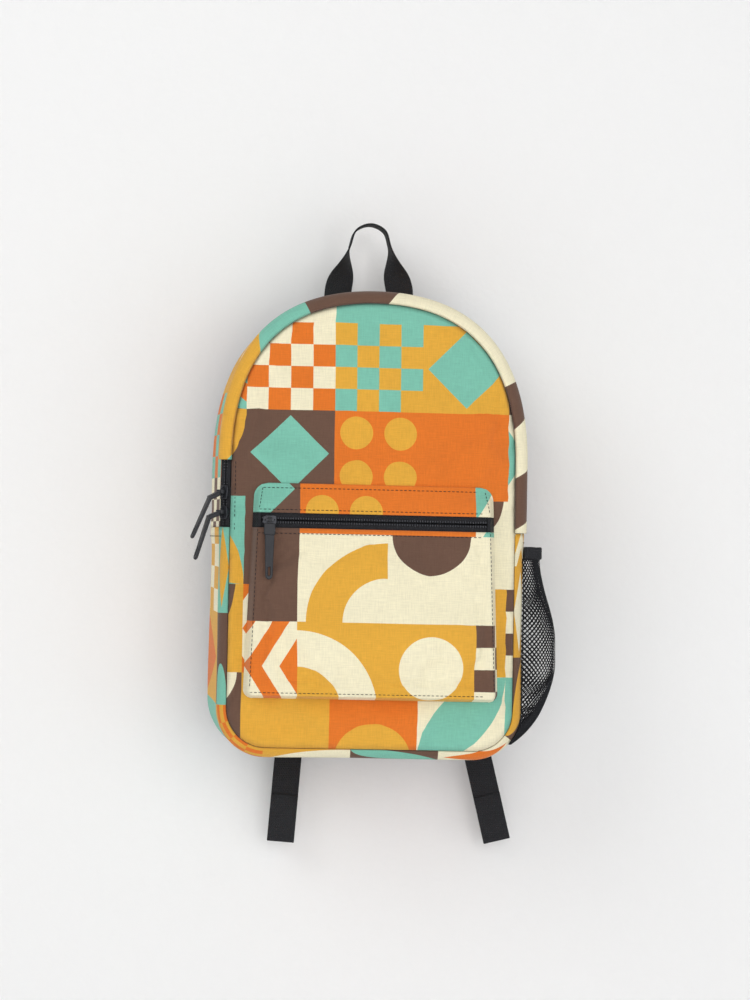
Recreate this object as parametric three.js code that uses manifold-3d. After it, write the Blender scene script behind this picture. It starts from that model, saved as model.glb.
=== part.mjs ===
// Printed day pack with a front pocket, a side mesh pocket, a grab handle and two shoulder straps.
// Millimetres. +X is right seen from the front, +Y points to the wearer's back, +Z is up.
// The origin is the point of the grab handle that rests on a hook.
import * as THREE from 'three';
import { mergeVertices } from 'three/addons/utils/BufferGeometryUtils.js';
import Module from 'manifold-3d';

const wasm = await Module();
wasm.setup();
const { Manifold, Mesh: SolidMesh } = wasm;

// Bag body
const BAG_WIDTH = 284;
const BAG_HEIGHT = 415;
const BASE_DEPTH = 132; // back seam to front seam at the base
const TOP_DEPTH = 108;
const CORNER_RADIUS = 50;
const ARCH_RISE = 150; // height of the rounded top
const ARCH_FULLNESS = 0.69; // how far the top runs level
const ARCH_SHOULDER = 0.62; // how far the sides run upright
const EDGE_ROLL = 9; // soft edge between the gusset and the front panel
const SIDE_SPLAY = 6; // how far each side draws in towards the soft edge
const WIDEST = 0.4; // where the gusset is widest, from the back seam to the soft edge
const BACK_INSET = 6; // how far the gusset draws in at the back seam
const FRONT_BULGE = 14;
const SIDE_SEAM_HEIGHT = 203; // seam between the lower and upper gusset, above the base
const LOOP_HEIGHT = 70; // hang point above the bag
const CLOTH = 1.4; // printed cloth with its lining
const SEAM_GAP = 0.3; // between pieces sewn edge to edge
const FIT = 0.5; // between a piece and a curved one it lies on

// Main zip and its flap
const ZIP_BEVEL_START = 16; // degrees round the soft edge
const FLAP_START = 2;
const FLAP_END = 86;
const FLAP_LIFT = 1.3;
const FLAP_ABOVE_SEAM = 60; // lower end of the flap on the left
const FLAP_LEFT_HEIGHT = SIDE_SEAM_HEIGHT + FLAP_ABOVE_SEAM;
const TAPE = 0.8;
const ZIP_SLOT = 1.6; // between the two halves of a zip
const COIL_WIDTH = 1.7;
const COIL_HEIGHT = 1.9;
const COIL_PITCH = 7;
const COIL_VALLEY = 0.35;
const COIL_SEAT = 0.05; // under a coil
const SLIDER_ABOVE_SEAM = 13; // lower slider of the main zip
const SLIDER_STEP = 18; // from the lower slider to the upper one
const LOWER_SLIDER_HEIGHT = SIDE_SEAM_HEIGHT + SLIDER_ABOVE_SEAM;
const UPPER_SLIDER_HEIGHT = LOWER_SLIDER_HEIGHT + SLIDER_STEP;

// Sliders and pulls
const SLIDER_LENGTH = 12;
const SLIDER_WIDTH = 8.4;
const SLIDER_PLATE = 1.3;
const SLIDER_CLEAR = 0.35;
const SLIDER_LIP = 0.7;
const BLADE = 0.8;
const BRIDGE_BAR = 1.4;
const BRIDGE_RISE = 2.9; // top plate to the middle of the bridge bar
const EYE_HOLE = 1.35;
const EYE_RADIUS = 2.5;
const EYE_WIDTH = 3.2;
const CONNECTOR_WIDTH = 10;
const CONNECTOR_LENGTH = 10.5;
const CONNECTOR_THICK = 4;
const TAB_LENGTH = 40;
const TAB_WIDTH = 8.5;
const TAB_THICK = 2.4;

// Front pocket
const POCKET_TOP_WIDTH = 212;
const POCKET_BASE_WIDTH = 226;
const POCKET_BASE_HEIGHT = 53;
const POCKET_TOP_HEIGHT = 243;
const POCKET_TOP_CORNER = 12;
const POCKET_BASE_CORNER = 8;
const POCKET_ZIP_HEIGHT = 210;
const POCKET_ZIP_OPENING = 13.4;
const POCKET_LIFT = 6; // zip in front of the panel's fullest point
const POCKET_FLARE = 16; // base in front of the zip
const POCKET_BILLOW = 5;
const POCKET_WALL_RUN = 5;
const TAPE_LAP = 2;

// Side mesh pocket
const MESH_BELOW_SEAM = 23;
const MESH_TOP_HEIGHT = SIDE_SEAM_HEIGHT - MESH_BELOW_SEAM;
const MESH_BASE_HEIGHT = 16;
const MESH_BULGE = 30;
const MESH_MOUTH = 14;
const MESH_CLOTH = 1;
const BINDING_HEIGHT = 11;
const BINDING_THICK = 2.6;

// Back, straps and webbing
const BACK_PAD = 11;
const PAD_INSET = 4;
const WEB_WIDTH = 25;
const WEB = 1.5;
const HANDLE_SPREAD = 29; // middle of each handle root from the middle of the bag
const HOOK_RADIUS = 18;
const HANDLE_FOOT = 12; // straight run of the handle above the bag's top
const STRAP_WIDTH = 60;
const STRAP_END_WIDTH = 38;
const STRAP_THICK = 10;
const STRAP_EDGE = 2.6;
const STRAP_TOP_X = 46;
const LEFT_STRAP_END = BAG_WIDTH * 0.21; // lower strap ends from the middle of the bag
const RIGHT_STRAP_END = BAG_WIDTH * 0.345;
const STRAP_BOW = 22;
const STRAP_TOP_DROP = 78; // below the bag's top
const STRAP_END_HEIGHT = 92; // above the base
const YOKE_WIDTH = 168;
const YOKE_HEIGHT = 46;
const YOKE_THICK = 3;
const LOCK_HEIGHT = 54; // ladder lock above the base
const LOCK_WIDTH = 34;
const LOCK_BAR = 3.2;
const LOCK_THICK = 3.4;
const LOCK_PITCH = 9.5;
const WEB_CLEAR = 0.35;
const TAIL_DROP = 86; // adjuster ends below the base
const TAIL_HEM = 43;
const ANCHOR_HEIGHT = 8;
const ANCHOR_TALL = 30;
const ANCHOR_FOOT = 44;
const ANCHOR_TIP = 28;
const FOLD_RUN = 14; // adjuster webbing flat on its anchor
const FOLD_EASE = 8;
const LEFT_LEAN = 4; // degrees, lower strap ends lean outward
const RIGHT_LEAN = 14;
const SLEEVE_DEPTH = 14;
const SLEEVE_HEIGHT = 275;
const SLEEVE_SIDE = 14; // from the side of the front panel

const TOP = -LOOP_HEIGHT;
const BASE = TOP - BAG_HEIGHT;
const SPRING = TOP - ARCH_RISE;
const SIDE_SEAM = BASE + SIDE_SEAM_HEIGHT;
const FRONT_INSET = SIDE_SPLAY + EDGE_ROLL;
const rad = THREE.MathUtils.degToRad;
const { clamp, lerp, smoothstep } = THREE.MathUtils;
const V = (x, y, z) => new THREE.Vector3(x, y, z);

const depthAt = (z) => lerp(BASE_DEPTH, TOP_DEPTH, (z - BASE) / BAG_HEIGHT);

// Closed outward solid from any three.js geometry.
function closed(geometry) {
  const bare = new THREE.BufferGeometry();
  bare.setAttribute('position', geometry.getAttribute('position'));
  bare.setIndex(geometry.getIndex());
  const merged = mergeVertices(bare, 1e-4);
  const position = merged.getAttribute('position');
  const corners = merged.getIndex().array;
  const kept = [];
  let volume = 0;
  const [a, b, c] = [V(), V(), V()];
  for (let i = 0; i < corners.length; i += 3) {
    const [p, q, r] = corners.slice(i, i + 3);
    if (p === q || q === r || r === p) continue;
    kept.push(p, q, r);
    a.fromBufferAttribute(position, p);
    b.fromBufferAttribute(position, q);
    c.fromBufferAttribute(position, r);
    volume += a.dot(b.cross(c));
  }
  if (volume < 0) kept.reverse();
  merged.setIndex(kept);
  return merged;
}

// Thin body over u and v in 0..1, with w in 0..1 through its thickness.
function sheet(uSteps, vSteps, place) {
  const box = new THREE.BoxGeometry(1, 1, 1, uSteps, vSteps, 1).translate(0.5, 0.5, 0.5);
  const position = box.getAttribute('position');
  for (let i = 0; i < position.count; i += 1) {
    const p = place(position.getX(i), position.getY(i), position.getZ(i));
    position.setXYZ(i, p.x, p.y, p.z);
  }
  return closed(box);
}

// Round body over an outline: profile gives share of the radius and level, place takes turn 0..1.
function domed(segments, profile, place) {
  const lathe = new THREE.LatheGeometry(profile.map(([r, y]) => new THREE.Vector2(r, y)), segments);
  const position = lathe.getAttribute('position');
  for (let i = 0; i < position.count; i += 1) {
    const x = position.getX(i);
    const z = position.getZ(i);
    const share = Math.hypot(x, z);
    const step = Math.round(Math.atan2(x, z) / (2 * Math.PI) * segments) / segments;
    const turn = share < 1e-6 ? 0 : (step + 1) % 1;
    const p = place(turn, share, position.getY(i));
    position.setXYZ(i, p.x, p.y, p.z);
  }
  return closed(lathe);
}

function toSolid(geometry) {
  const g = closed(geometry);
  return new Manifold(new SolidMesh({
    numProp: 3,
    vertProperties: new Float32Array(g.getAttribute('position').array),
    triVerts: new Uint32Array(g.getIndex().array),
  }));
}

function toGeometry(solid) {
  const mesh = solid.getMesh();
  const g = new THREE.BufferGeometry();
  g.setAttribute('position', new THREE.BufferAttribute(new Float32Array(mesh.vertProperties), 3));
  g.setIndex(new THREE.BufferAttribute(new Uint32Array(mesh.triVerts), 1));
  return closed(g);
}

const joined = (pieces) => toGeometry(Manifold.union(pieces.map(toSolid)));
const common = (a, b) => toGeometry(toSolid(a).intersect(toSolid(b)));

function block(x0, x1, y0, y1, z0, z1) {
  const box = new THREE.BoxGeometry(x1 - x0, y1 - y0, z1 - z0);
  return box.translate((x0 + x1) / 2, (y0 + y1) / 2, (z0 + z1) / 2);
}

// Flat plate in the XZ plane, its thickness centred on y = 0.
function plate(shape, thick, bevel = 0, curveSegments = 6) {
  const g = new THREE.ExtrudeGeometry(shape, {
    depth: thick - 2 * bevel,
    bevelEnabled: bevel > 0,
    bevelThickness: bevel,
    bevelSize: bevel,
    bevelOffset: -bevel,
    bevelSegments: 1,
    curveSegments,
  });
  return g.translate(0, 0, bevel - thick / 2).rotateX(Math.PI / 2);
}

function roundedRect(width, height, radius) {
  const [x, y] = [width / 2, height / 2];
  const s = new THREE.Shape();
  s.moveTo(x - radius, -y).absarc(x - radius, -y + radius, radius, -Math.PI / 2, 0);
  s.absarc(x - radius, y - radius, radius, 0, Math.PI / 2);
  s.absarc(-x + radius, y - radius, radius, Math.PI / 2, Math.PI);
  s.absarc(-x + radius, -y + radius, radius, Math.PI, Math.PI * 1.5);
  return s;
}

// Outlines of the bag seen from the front, drawn in from the widest by inset. Each is a list of
// stations with the same count on every run, so that pieces sewn along it share their facets.
const SIDE_STEPS = 2;
const ARCH_STEPS = 10;
const CORNER_STEPS = 5;
const FLOOR_STEPS = 4;

function stations(path, counts) {
  const points = [];
  path.curves.forEach((curve, i) => {
    for (let k = 0; k < counts[i]; k += 1) points.push(curve.getPointAt(k / counts[i]));
  });
  points.push(path.curves[path.curves.length - 1].getPointAt(1));
  return points;
}

function archPath(inset, zLeft, zRight, splay = 0) {
  const a = BAG_WIDTH / 2 - inset;
  const top = TOP - inset + splay;
  const rise = SPRING + ARCH_SHOULDER * (top - SPRING);
  const p = new THREE.Path();
  p.moveTo(-a, zLeft).lineTo(-a, SPRING);
  p.bezierCurveTo(-a, rise, -ARCH_FULLNESS * a, top, 0, top);
  p.bezierCurveTo(ARCH_FULLNESS * a, top, a, rise, a, SPRING);
  return p.lineTo(a, zRight);
}

function basePath(inset, zLeft, zRight, splay = 0) {
  const a = BAG_WIDTH / 2 - inset;
  const r = CORNER_RADIUS - inset;
  const floor = BASE + inset - splay;
  const p = new THREE.Path();
  p.moveTo(a, zRight).lineTo(a, floor + r).absarc(a - r, floor + r, r, 0, -Math.PI / 2, true);
  p.lineTo(-a + r, floor).absarc(-a + r, floor + r, r, -Math.PI / 2, -Math.PI, true);
  return p.lineTo(-a, zLeft);
}

const ARCH_COUNTS = [SIDE_STEPS, ARCH_STEPS, ARCH_STEPS, SIDE_STEPS];
const BASE_COUNTS = [SIDE_STEPS, CORNER_STEPS, FLOOR_STEPS, CORNER_STEPS, SIDE_STEPS];
const archLine = (inset, zLeft, zRight, splay) => (
  stations(archPath(inset, zLeft, zRight, splay), ARCH_COUNTS)
);
const baseLine = (inset, splay) => stations(basePath(inset, SIDE_SEAM, SIDE_SEAM, splay), BASE_COUNTS);
const wholeLine = (inset, splay) => [
  ...archLine(inset, SIDE_SEAM, SIDE_SEAM, splay).slice(0, -1),
  ...baseLine(inset, splay).slice(0, -1),
];
const ARCH_TOTAL = 2 * (SIDE_STEPS + ARCH_STEPS);
const BASE_TOTAL = 2 * (SIDE_STEPS + CORNER_STEPS) + FLOOR_STEPS;
const WHOLE_TOTAL = ARCH_TOTAL + BASE_TOTAL;

function remembered(make) {
  const made = new Map();
  return (inset, splay) => {
    const key = `${inset.toFixed(4)} ${splay.toFixed(4)}`;
    if (!made.has(key)) made.set(key, make(inset, splay));
    return made.get(key);
  };
}

const stationAt = (line, u) => line[Math.round(u * (line.length - 1))];

// Section of the gusset from the back seam (0) to the soft edge (1) and round it to the front (2).
const splayAt = (step) => SIDE_SPLAY * clamp((step - WIDEST) / (1 - WIDEST), 0, 1);

function sectionInset(step, inward) {
  const back = BACK_INSET * Math.max(0, 1 - step / WIDEST) ** 2;
  if (step <= 1) return back + splayAt(step) + inward;
  return FRONT_INSET - (EDGE_ROLL - inward) * Math.cos((step - 1) * Math.PI / 2);
}

function sectionDepth(step, inward, z) {
  const flat = depthAt(z) - EDGE_ROLL;
  if (step <= 1) return step * flat;
  return flat + (EDGE_ROLL - inward) * Math.sin((step - 1) * Math.PI / 2);
}

function gussetPoint(line, u, step, inward) {
  const p = stationAt(line(sectionInset(step, inward), splayAt(step)), u);
  return V(p.x, -sectionDepth(step, inward, p.y), p.y);
}

const ARCH_FOOT = SIDE_SEAM + SEAM_GAP;
const FLAP_FOOT = BASE + FLAP_LEFT_HEIGHT;
const upperLine = remembered((inset, splay) => archLine(inset, ARCH_FOOT, ARCH_FOOT, splay));
const lowerLine = remembered(baseLine);
const flapLine = remembered((inset, splay) => archLine(inset, FLAP_FOOT, ARCH_FOOT, splay));
const BEVEL_STEP = 1 + ZIP_BEVEL_START / 90;

const upperGusset = sheet(ARCH_TOTAL, 6, (u, v, w) => {
  const step = v <= 0.5 ? 2 * v : lerp(1, BEVEL_STEP, 2 * v - 1);
  return gussetPoint(upperLine, u, step, w * CLOTH);
});

const lowerGusset = sheet(BASE_TOTAL, 10, (u, v, w) => gussetPoint(lowerLine, u, 2 * v, w * CLOTH));

const zipFlap = sheet(ARCH_TOTAL, 4, (u, v, w) => {
  const turn = lerp(FLAP_START, FLAP_END, v);
  const lift = lerp(FIT, FLAP_LIFT, smoothstep(v, 0, 0.5));
  return gussetPoint(flapLine, u, 1 + turn / 90, -lift - w * CLOTH);
});

// The main zip lies on the flat bevel between the gusset's front edge and the front panel.
const bevelFrom = {
  inset: sectionInset(BEVEL_STEP, 0),
  back: EDGE_ROLL * (1 - Math.sin(rad(ZIP_BEVEL_START))),
};
const bevelTo = { inset: FRONT_INSET + SEAM_GAP, back: 0 };
const BEVEL_LENGTH = Math.hypot(bevelTo.inset - bevelFrom.inset, bevelFrom.back);
const BEVEL_TILT = Math.atan2(bevelFrom.back, bevelTo.inset - bevelFrom.inset);

function bevelPoint(u, across, height) {
  const inset = bevelFrom.inset + across * Math.cos(BEVEL_TILT) - height * Math.sin(BEVEL_TILT);
  const p = stationAt(upperLine(inset, SIDE_SPLAY), u);
  const back = bevelFrom.back - across * Math.sin(BEVEL_TILT) - height * Math.cos(BEVEL_TILT);
  return V(p.x, back - depthAt(p.y), p.y);
}

const ZIP_MIDDLE = BEVEL_LENGTH / 2;
const TAPE_TOP = -0.2;

function bevelStrip(from, to, low, high) {
  return sheet(ARCH_TOTAL, 1, (u, v, w) => bevelPoint(u, lerp(from, to, v), lerp(low, high, w)));
}

const rearEdge = SEAM_GAP + CLOTH * Math.sin(rad(90 - ZIP_BEVEL_START) - BEVEL_TILT);
const frontEdge = BEVEL_LENGTH - SEAM_GAP - CLOTH * Math.sin(BEVEL_TILT);
const slotRear = ZIP_MIDDLE - ZIP_SLOT / 2;
const slotFront = ZIP_MIDDLE + ZIP_SLOT / 2;
const rearTape = bevelStrip(rearEdge, slotRear, TAPE_TOP - TAPE, TAPE_TOP);
const frontTape = bevelStrip(slotFront, frontEdge, TAPE_TOP - TAPE, TAPE_TOP);
const coilLow = TAPE_TOP + COIL_SEAT;
const coilHigh = TAPE_TOP + COIL_HEIGHT;
const rearCoil = bevelStrip(slotRear - COIL_WIDTH, slotRear, coilLow, coilHigh);
const frontCoil = bevelStrip(slotFront, slotFront + COIL_WIDTH, coilLow, coilHigh);

// Front panel: a dome over the whole outline inside the soft edge.
const PANEL_EDGE = wholeLine(FRONT_INSET + SEAM_GAP, SIDE_SPLAY);
const PANEL_MIDDLE = { x: 0, z: (TOP + BASE) / 2 };
const edgeSamples = PANEL_EDGE.map((p) => {
  const [x, z] = [p.x - PANEL_MIDDLE.x, p.y - PANEL_MIDDLE.z];
  return { angle: Math.atan2(z, x), radius: Math.hypot(x, z) };
}).sort((a, b) => a.angle - b.angle);

function panelShare(x, z) {
  const angle = Math.atan2(z - PANEL_MIDDLE.z, x - PANEL_MIDDLE.x);
  const n = edgeSamples.length;
  const i = edgeSamples.findIndex((s) => s.angle > angle);
  const [before, after] = [edgeSamples[(Math.max(i, 0) + n - 1) % n], edgeSamples[Math.max(i, 0)]];
  const span = (after.angle - before.angle + 2 * Math.PI) % (2 * Math.PI);
  const part = span < 1e-9 ? 0 : ((angle - before.angle + 2 * Math.PI) % (2 * Math.PI)) / span;
  return Math.hypot(x - PANEL_MIDDLE.x, z - PANEL_MIDDLE.z) / lerp(before.radius, after.radius, part);
}

const panelFront = (share, z) => -depthAt(z) - FRONT_BULGE * (1 - share ** 2.4);
const panelAt = (x, z) => panelFront(Math.min(1, panelShare(x, z)), z);

const RINGS = [0, 0.36, 0.62, 0.8, 0.92, 1];
const panelProfile = [...RINGS.map((r) => [r, 0]), ...RINGS.slice().reverse().map((r) => [r, 1])];
const frontPanel = domed(WHOLE_TOTAL, panelProfile, (turn, share, level) => {
  const edge = PANEL_EDGE[Math.round(turn * WHOLE_TOTAL) % WHOLE_TOTAL];
  const x = lerp(PANEL_MIDDLE.x, edge.x, share);
  const z = lerp(PANEL_MIDDLE.z, edge.y, share);
  return V(x, panelFront(share, z) + level * CLOTH, z);
});

const PAD_EDGE = wholeLine(PAD_INSET, 0);
const padProfile = [[0, 0], [0.6, 0], [1, 0], [1, 0.45], [0.975, 0.85], [0.92, 1], [0.6, 1], [0, 1]];
const backPanel = domed(WHOLE_TOTAL, padProfile, (turn, share, level) => {
  const edge = PAD_EDGE[Math.round(turn * WHOLE_TOTAL) % WHOLE_TOTAL];
  const x = lerp(PANEL_MIDDLE.x, edge.x, share);
  const z = lerp(PANEL_MIDDLE.z, edge.y, share);
  return V(x, SEAM_GAP + level * BACK_PAD, z);
});
const PAD_BACK = SEAM_GAP + BACK_PAD;

// Front pocket: one stitched-down shell, split by the zip opening into header, face and end tabs.
const POCKET_LOW = BASE + POCKET_BASE_HEIGHT;
const POCKET_HIGH = BASE + POCKET_TOP_HEIGHT;
const POCKET_ZIP = BASE + POCKET_ZIP_HEIGHT;
const BAND_LOW = POCKET_ZIP - POCKET_ZIP_OPENING / 2;
const BAND_HIGH = POCKET_ZIP + POCKET_ZIP_OPENING / 2;
const POCKET_ZIP_Y = -(depthAt(POCKET_ZIP) + FRONT_BULGE + POCKET_LIFT);

// How far a corner of this radius draws in, at a reach from the end.
const cornerCut = (radius, reach) => radius - Math.sqrt(radius ** 2 - clamp(radius - reach, 0, radius) ** 2);

function pocketHalf(z) {
  const up = (z - POCKET_LOW) / (POCKET_HIGH - POCKET_LOW);
  const half = lerp(POCKET_BASE_WIDTH, POCKET_TOP_WIDTH, up) / 2;
  const top = cornerCut(POCKET_TOP_CORNER, POCKET_HIGH - z);
  return half - top - cornerCut(POCKET_BASE_CORNER, z - POCKET_LOW);
}

const OPENING_HALF = pocketHalf(POCKET_ZIP) - POCKET_WALL_RUN - TAPE_LAP;

function pocketFace(x, z) {
  const share = clamp((BAND_LOW - z) / (BAND_LOW - POCKET_LOW), 0, 1);
  const billow = POCKET_BILLOW * Math.sin(Math.PI * share) * (1 - (x / pocketHalf(z)) ** 2);
  return POCKET_ZIP_Y - POCKET_FLARE * share - billow;
}

function pocketSkin(x, z) {
  const side = smoothstep(pocketHalf(z) - Math.abs(x), 0, POCKET_WALL_RUN);
  const foot = smoothstep(z - POCKET_LOW, 0, POCKET_WALL_RUN * 0.7);
  const head = smoothstep(POCKET_HIGH - z, 0, POCKET_HIGH - BAND_HIGH - TAPE_LAP - 1);
  const flange = panelAt(x, z) - CLOTH - FIT;
  return lerp(flange, pocketFace(x, z), side * foot * head);
}

// Steps gathered towards both ends, so the walls are round and the middle is plain.
const gathered = (t, power) => 0.5 + 0.5 * Math.sign(2 * t - 1) * (1 - (1 - Math.abs(2 * t - 1)) ** power);

function pocketPoint(u, v) {
  const z = lerp(POCKET_LOW, POCKET_HIGH, gathered(v, 1.5));
  const half = pocketHalf(z);
  const x = lerp(-half, half, gathered(u, 2.1));
  return V(x, pocketSkin(x, z), z);
}

const pocketShell = sheet(18, 18, (u, v, w) => {
  const p = pocketPoint(u, v);
  const h = 1e-3;
  const du = pocketPoint(Math.min(1, u + h), v).sub(pocketPoint(Math.max(0, u - h), v));
  const dv = pocketPoint(u, Math.min(1, v + h)).sub(pocketPoint(u, Math.max(0, v - h)));
  const inward = dv.cross(du).normalize();
  return p.addScaledVector(inward, w * CLOTH);
});
const FAR = 400;
const pocketHeader = common(pocketShell, block(-FAR, FAR, -FAR, 0, BAND_HIGH, BAND_HIGH + FAR));
const pocketFacePiece = common(pocketShell, block(-FAR, FAR, -FAR, 0, BAND_LOW - FAR, BAND_LOW));
const band = (x0, x1) => block(x0, x1, -FAR, 0, BAND_LOW + SEAM_GAP, BAND_HIGH - SEAM_GAP);
const pocketEndLeft = common(pocketShell, band(-FAR, -OPENING_HALF));
const pocketEndRight = common(pocketShell, band(OPENING_HALF, FAR));

// Pocket zip, behind the edges of the opening.
const POCKET_TAPE_Y = POCKET_ZIP_Y + CLOTH + FIT;
const POCKET_TAPE_HALF = OPENING_HALF + TAPE_LAP / 4;
const tapeOuter = POCKET_ZIP_OPENING / 2 + TAPE_LAP / 4;
const slotHalf = ZIP_SLOT / 2;

function pocketTape(low, high) {
  const half = POCKET_TAPE_HALF;
  return block(-half, half, POCKET_TAPE_Y, POCKET_TAPE_Y + TAPE, POCKET_ZIP + low, POCKET_ZIP + high);
}

// Coil with one rounded ridge for each turn, lying on the tape beside the slot.
const COIL_HALF = OPENING_HALF - 1;
const COIL_STEPS = 2 * Math.round(2 * COIL_HALF / COIL_PITCH);
const pocketCoil = (side) => sheet(COIL_STEPS, 1, (u, v, w) => {
  const valley = Math.round(u * COIL_STEPS) % 2;
  const height = w * (COIL_HEIGHT - COIL_VALLEY * valley);
  const across = slotHalf + v * (COIL_WIDTH - COIL_VALLEY * valley);
  return V(lerp(-COIL_HALF, COIL_HALF, u), POCKET_TAPE_Y - COIL_SEAT - height, POCKET_ZIP + side * across);
});

// Zip slider. X runs along the zip, Z across it and -Y out from the tape, whose front face is y = 0.
const SLIDER_TOP = COIL_HEIGHT + COIL_SEAT + SLIDER_CLEAR;
const BRIDGE_Y = -(SLIDER_TOP + SLIDER_PLATE + BRIDGE_RISE);

function zipSlider() {
  const outline = new THREE.Shape();
  const [l, w] = [SLIDER_LENGTH / 2, SLIDER_WIDTH / 2];
  outline.moveTo(-l, -w * 0.55).quadraticCurveTo(-l, -w * 0.75, -l * 0.7, -w * 0.8);
  outline.lineTo(l * 0.4, -w).quadraticCurveTo(l, -w, l, -w * 0.5);
  outline.lineTo(l, w * 0.5).quadraticCurveTo(l, w, l * 0.4, w);
  outline.lineTo(-l * 0.7, w * 0.8).quadraticCurveTo(-l, w * 0.75, -l, w * 0.55);
  const front = plate(outline, SLIDER_PLATE, 0.35, 3).translate(0, -SLIDER_TOP - SLIDER_PLATE / 2, 0);
  const rear = plate(outline, SLIDER_PLATE, 0.3, 3).translate(0, TAPE + SLIDER_CLEAR + SLIDER_PLATE / 2, 0);
  const blade = block(l - 3.4, l - 0.6, -SLIDER_TOP - 0.4, TAPE + SLIDER_CLEAR + 0.4, -BLADE / 2, BLADE / 2);
  const lipBase = -SLIDER_TOP - 0.4;
  const lips = [-1, 1].map((side) => {
    const inner = side * (w - SLIDER_LIP * 0.8) - SLIDER_LIP / 2;
    return block(-l * 0.6, l * 0.4, lipBase, -2 * SLIDER_CLEAR, inner, inner + SLIDER_LIP);
  });
  const arch = new THREE.Shape();
  const rise = BRIDGE_RISE + BRIDGE_BAR / 2;
  arch.moveTo(-4.6, -0.4).lineTo(4.6, -0.4).lineTo(4.6, rise - 1.2).lineTo(3.6, rise);
  arch.lineTo(-3.6, rise).lineTo(-4.6, rise - 1.2).closePath();
  const hole = new THREE.Path();
  const under = rise - BRIDGE_BAR;
  hole.moveTo(-2.9, 0).lineTo(-2.9, under).lineTo(2.9, under).lineTo(2.9, 0).closePath();
  arch.holes.push(hole);
  const bridge = plate(arch, BRIDGE_BAR, 0, 3).rotateX(Math.PI / 2);
  bridge.translate(0, -SLIDER_TOP - SLIDER_PLATE, 0);
  return joined([front, rear, blade, ...lips, bridge]);
}

// Pull: an eye round the bridge bar (axis X), a moulded connector and a tapered rubber tab with a slot.
// It hangs along -Z. bend turns the connector, and droop the tab, towards +X; flat lies along X or Y.
function zipPull(bend, droop, turned) {
  const ring = new THREE.Shape();
  const neck = EYE_RADIUS + 2.2;
  const shank = 1.2;
  const open = Math.acos(shank / EYE_RADIUS);
  ring.moveTo(-shank, -neck).lineTo(shank, -neck).lineTo(shank, -EYE_RADIUS * Math.sin(open));
  ring.absarc(0, 0, EYE_RADIUS, -open, Math.PI + open);
  ring.closePath();
  const bore = new THREE.Path();
  bore.absarc(0, 0, EYE_HOLE, 0, Math.PI * 2);
  ring.holes.push(bore);
  const eye = plate(ring, EYE_WIDTH, 0, 5).rotateZ(Math.PI / 2);
  const box = plate(roundedRect(CONNECTOR_WIDTH, CONNECTOR_LENGTH, 1.5), CONNECTOR_THICK, 0.7, 2);
  box.translate(0, 0, -CONNECTOR_LENGTH / 2);
  const [half, tip] = [TAB_WIDTH / 2, TAB_WIDTH * 0.38];
  const tabShape = new THREE.Shape();
  const low = -TAB_LENGTH + tip;
  tabShape.moveTo(-half, 2).lineTo(-tip, low).absarc(0, low, tip, Math.PI, Math.PI * 2);
  tabShape.lineTo(half, 2).closePath();
  const slot = new THREE.Path();
  slot.absarc(0, low + 1, 1, Math.PI, Math.PI * 2).absarc(0, low + 7, 1, 0, Math.PI);
  slot.closePath();
  tabShape.holes.push(slot);
  const tab = plate(tabShape, TAB_THICK, 0.5, 3);
  if (turned) {
    box.rotateZ(Math.PI / 2);
    tab.rotateZ(Math.PI / 2);
  }
  tab.rotateY(droop - bend).translate(0, 0, -CONNECTOR_LENGTH + 0.8);
  const tail = [box, tab].map((g) => g.translate(0, 0, -(neck - 1.6)).rotateY(bend));
  return joined([eye, ...tail]);
}

const placed = (geometry, matrix) => geometry.clone().applyMatrix4(matrix);

// Pocket slider at the left end of its run, its pull lying down the pocket face.
const POCKET_SLIDER_X = -(OPENING_HALF - SLIDER_LENGTH / 2 - 1.5);
const pocketSliderPlace = new THREE.Matrix4().makeTranslation(POCKET_SLIDER_X, POCKET_TAPE_Y, POCKET_ZIP);
const pocketSlider = placed(zipSlider(), pocketSliderPlace);
const PULL_REACH = EYE_RADIUS + CONNECTOR_LENGTH + TAB_LENGTH;
const pullStand = BRIDGE_Y + POCKET_TAPE_Y + CONNECTOR_THICK / 2 + FIT;
let pullLean = 0;
for (let reach = 4; reach <= PULL_REACH; reach += 4) {
  const face = pocketFace(0, POCKET_ZIP - reach);
  pullLean = Math.max(pullLean, Math.atan2(pullStand - face, reach));
}
const pocketPull = zipPull(0, 0, false).rotateX(-pullLean)
  .translate(POCKET_SLIDER_X, POCKET_TAPE_Y + BRIDGE_Y, POCKET_ZIP);

// Main sliders on the straight left-hand stretch of the zip, pulls hanging out to the left.
function mainPlace(height) {
  const inset = bevelFrom.inset + ZIP_MIDDLE * Math.cos(BEVEL_TILT) - TAPE_TOP * Math.sin(BEVEL_TILT);
  const z = BASE + height;
  const back = bevelFrom.back - ZIP_MIDDLE * Math.sin(BEVEL_TILT) - TAPE_TOP * Math.cos(BEVEL_TILT);
  const rise = V(0, (BASE_DEPTH - TOP_DEPTH) / BAG_HEIGHT, 1).normalize();
  const out = V(-Math.sin(BEVEL_TILT), -Math.cos(BEVEL_TILT), 0);
  out.addScaledVector(rise, -out.dot(rise)).normalize();
  const across = rise.clone().cross(out.clone().negate());
  return new THREE.Matrix4().makeBasis(rise, out.clone().negate(), across)
    .setPosition(-(BAG_WIDTH / 2 - inset), back - depthAt(z), z);
}

const flipEnd = new THREE.Matrix4().makeRotationY(Math.PI);
const mainSliderUpper = placed(zipSlider(), mainPlace(UPPER_SLIDER_HEIGHT));
const mainSliderLower = placed(zipSlider(), mainPlace(LOWER_SLIDER_HEIGHT).multiply(flipEnd));

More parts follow.
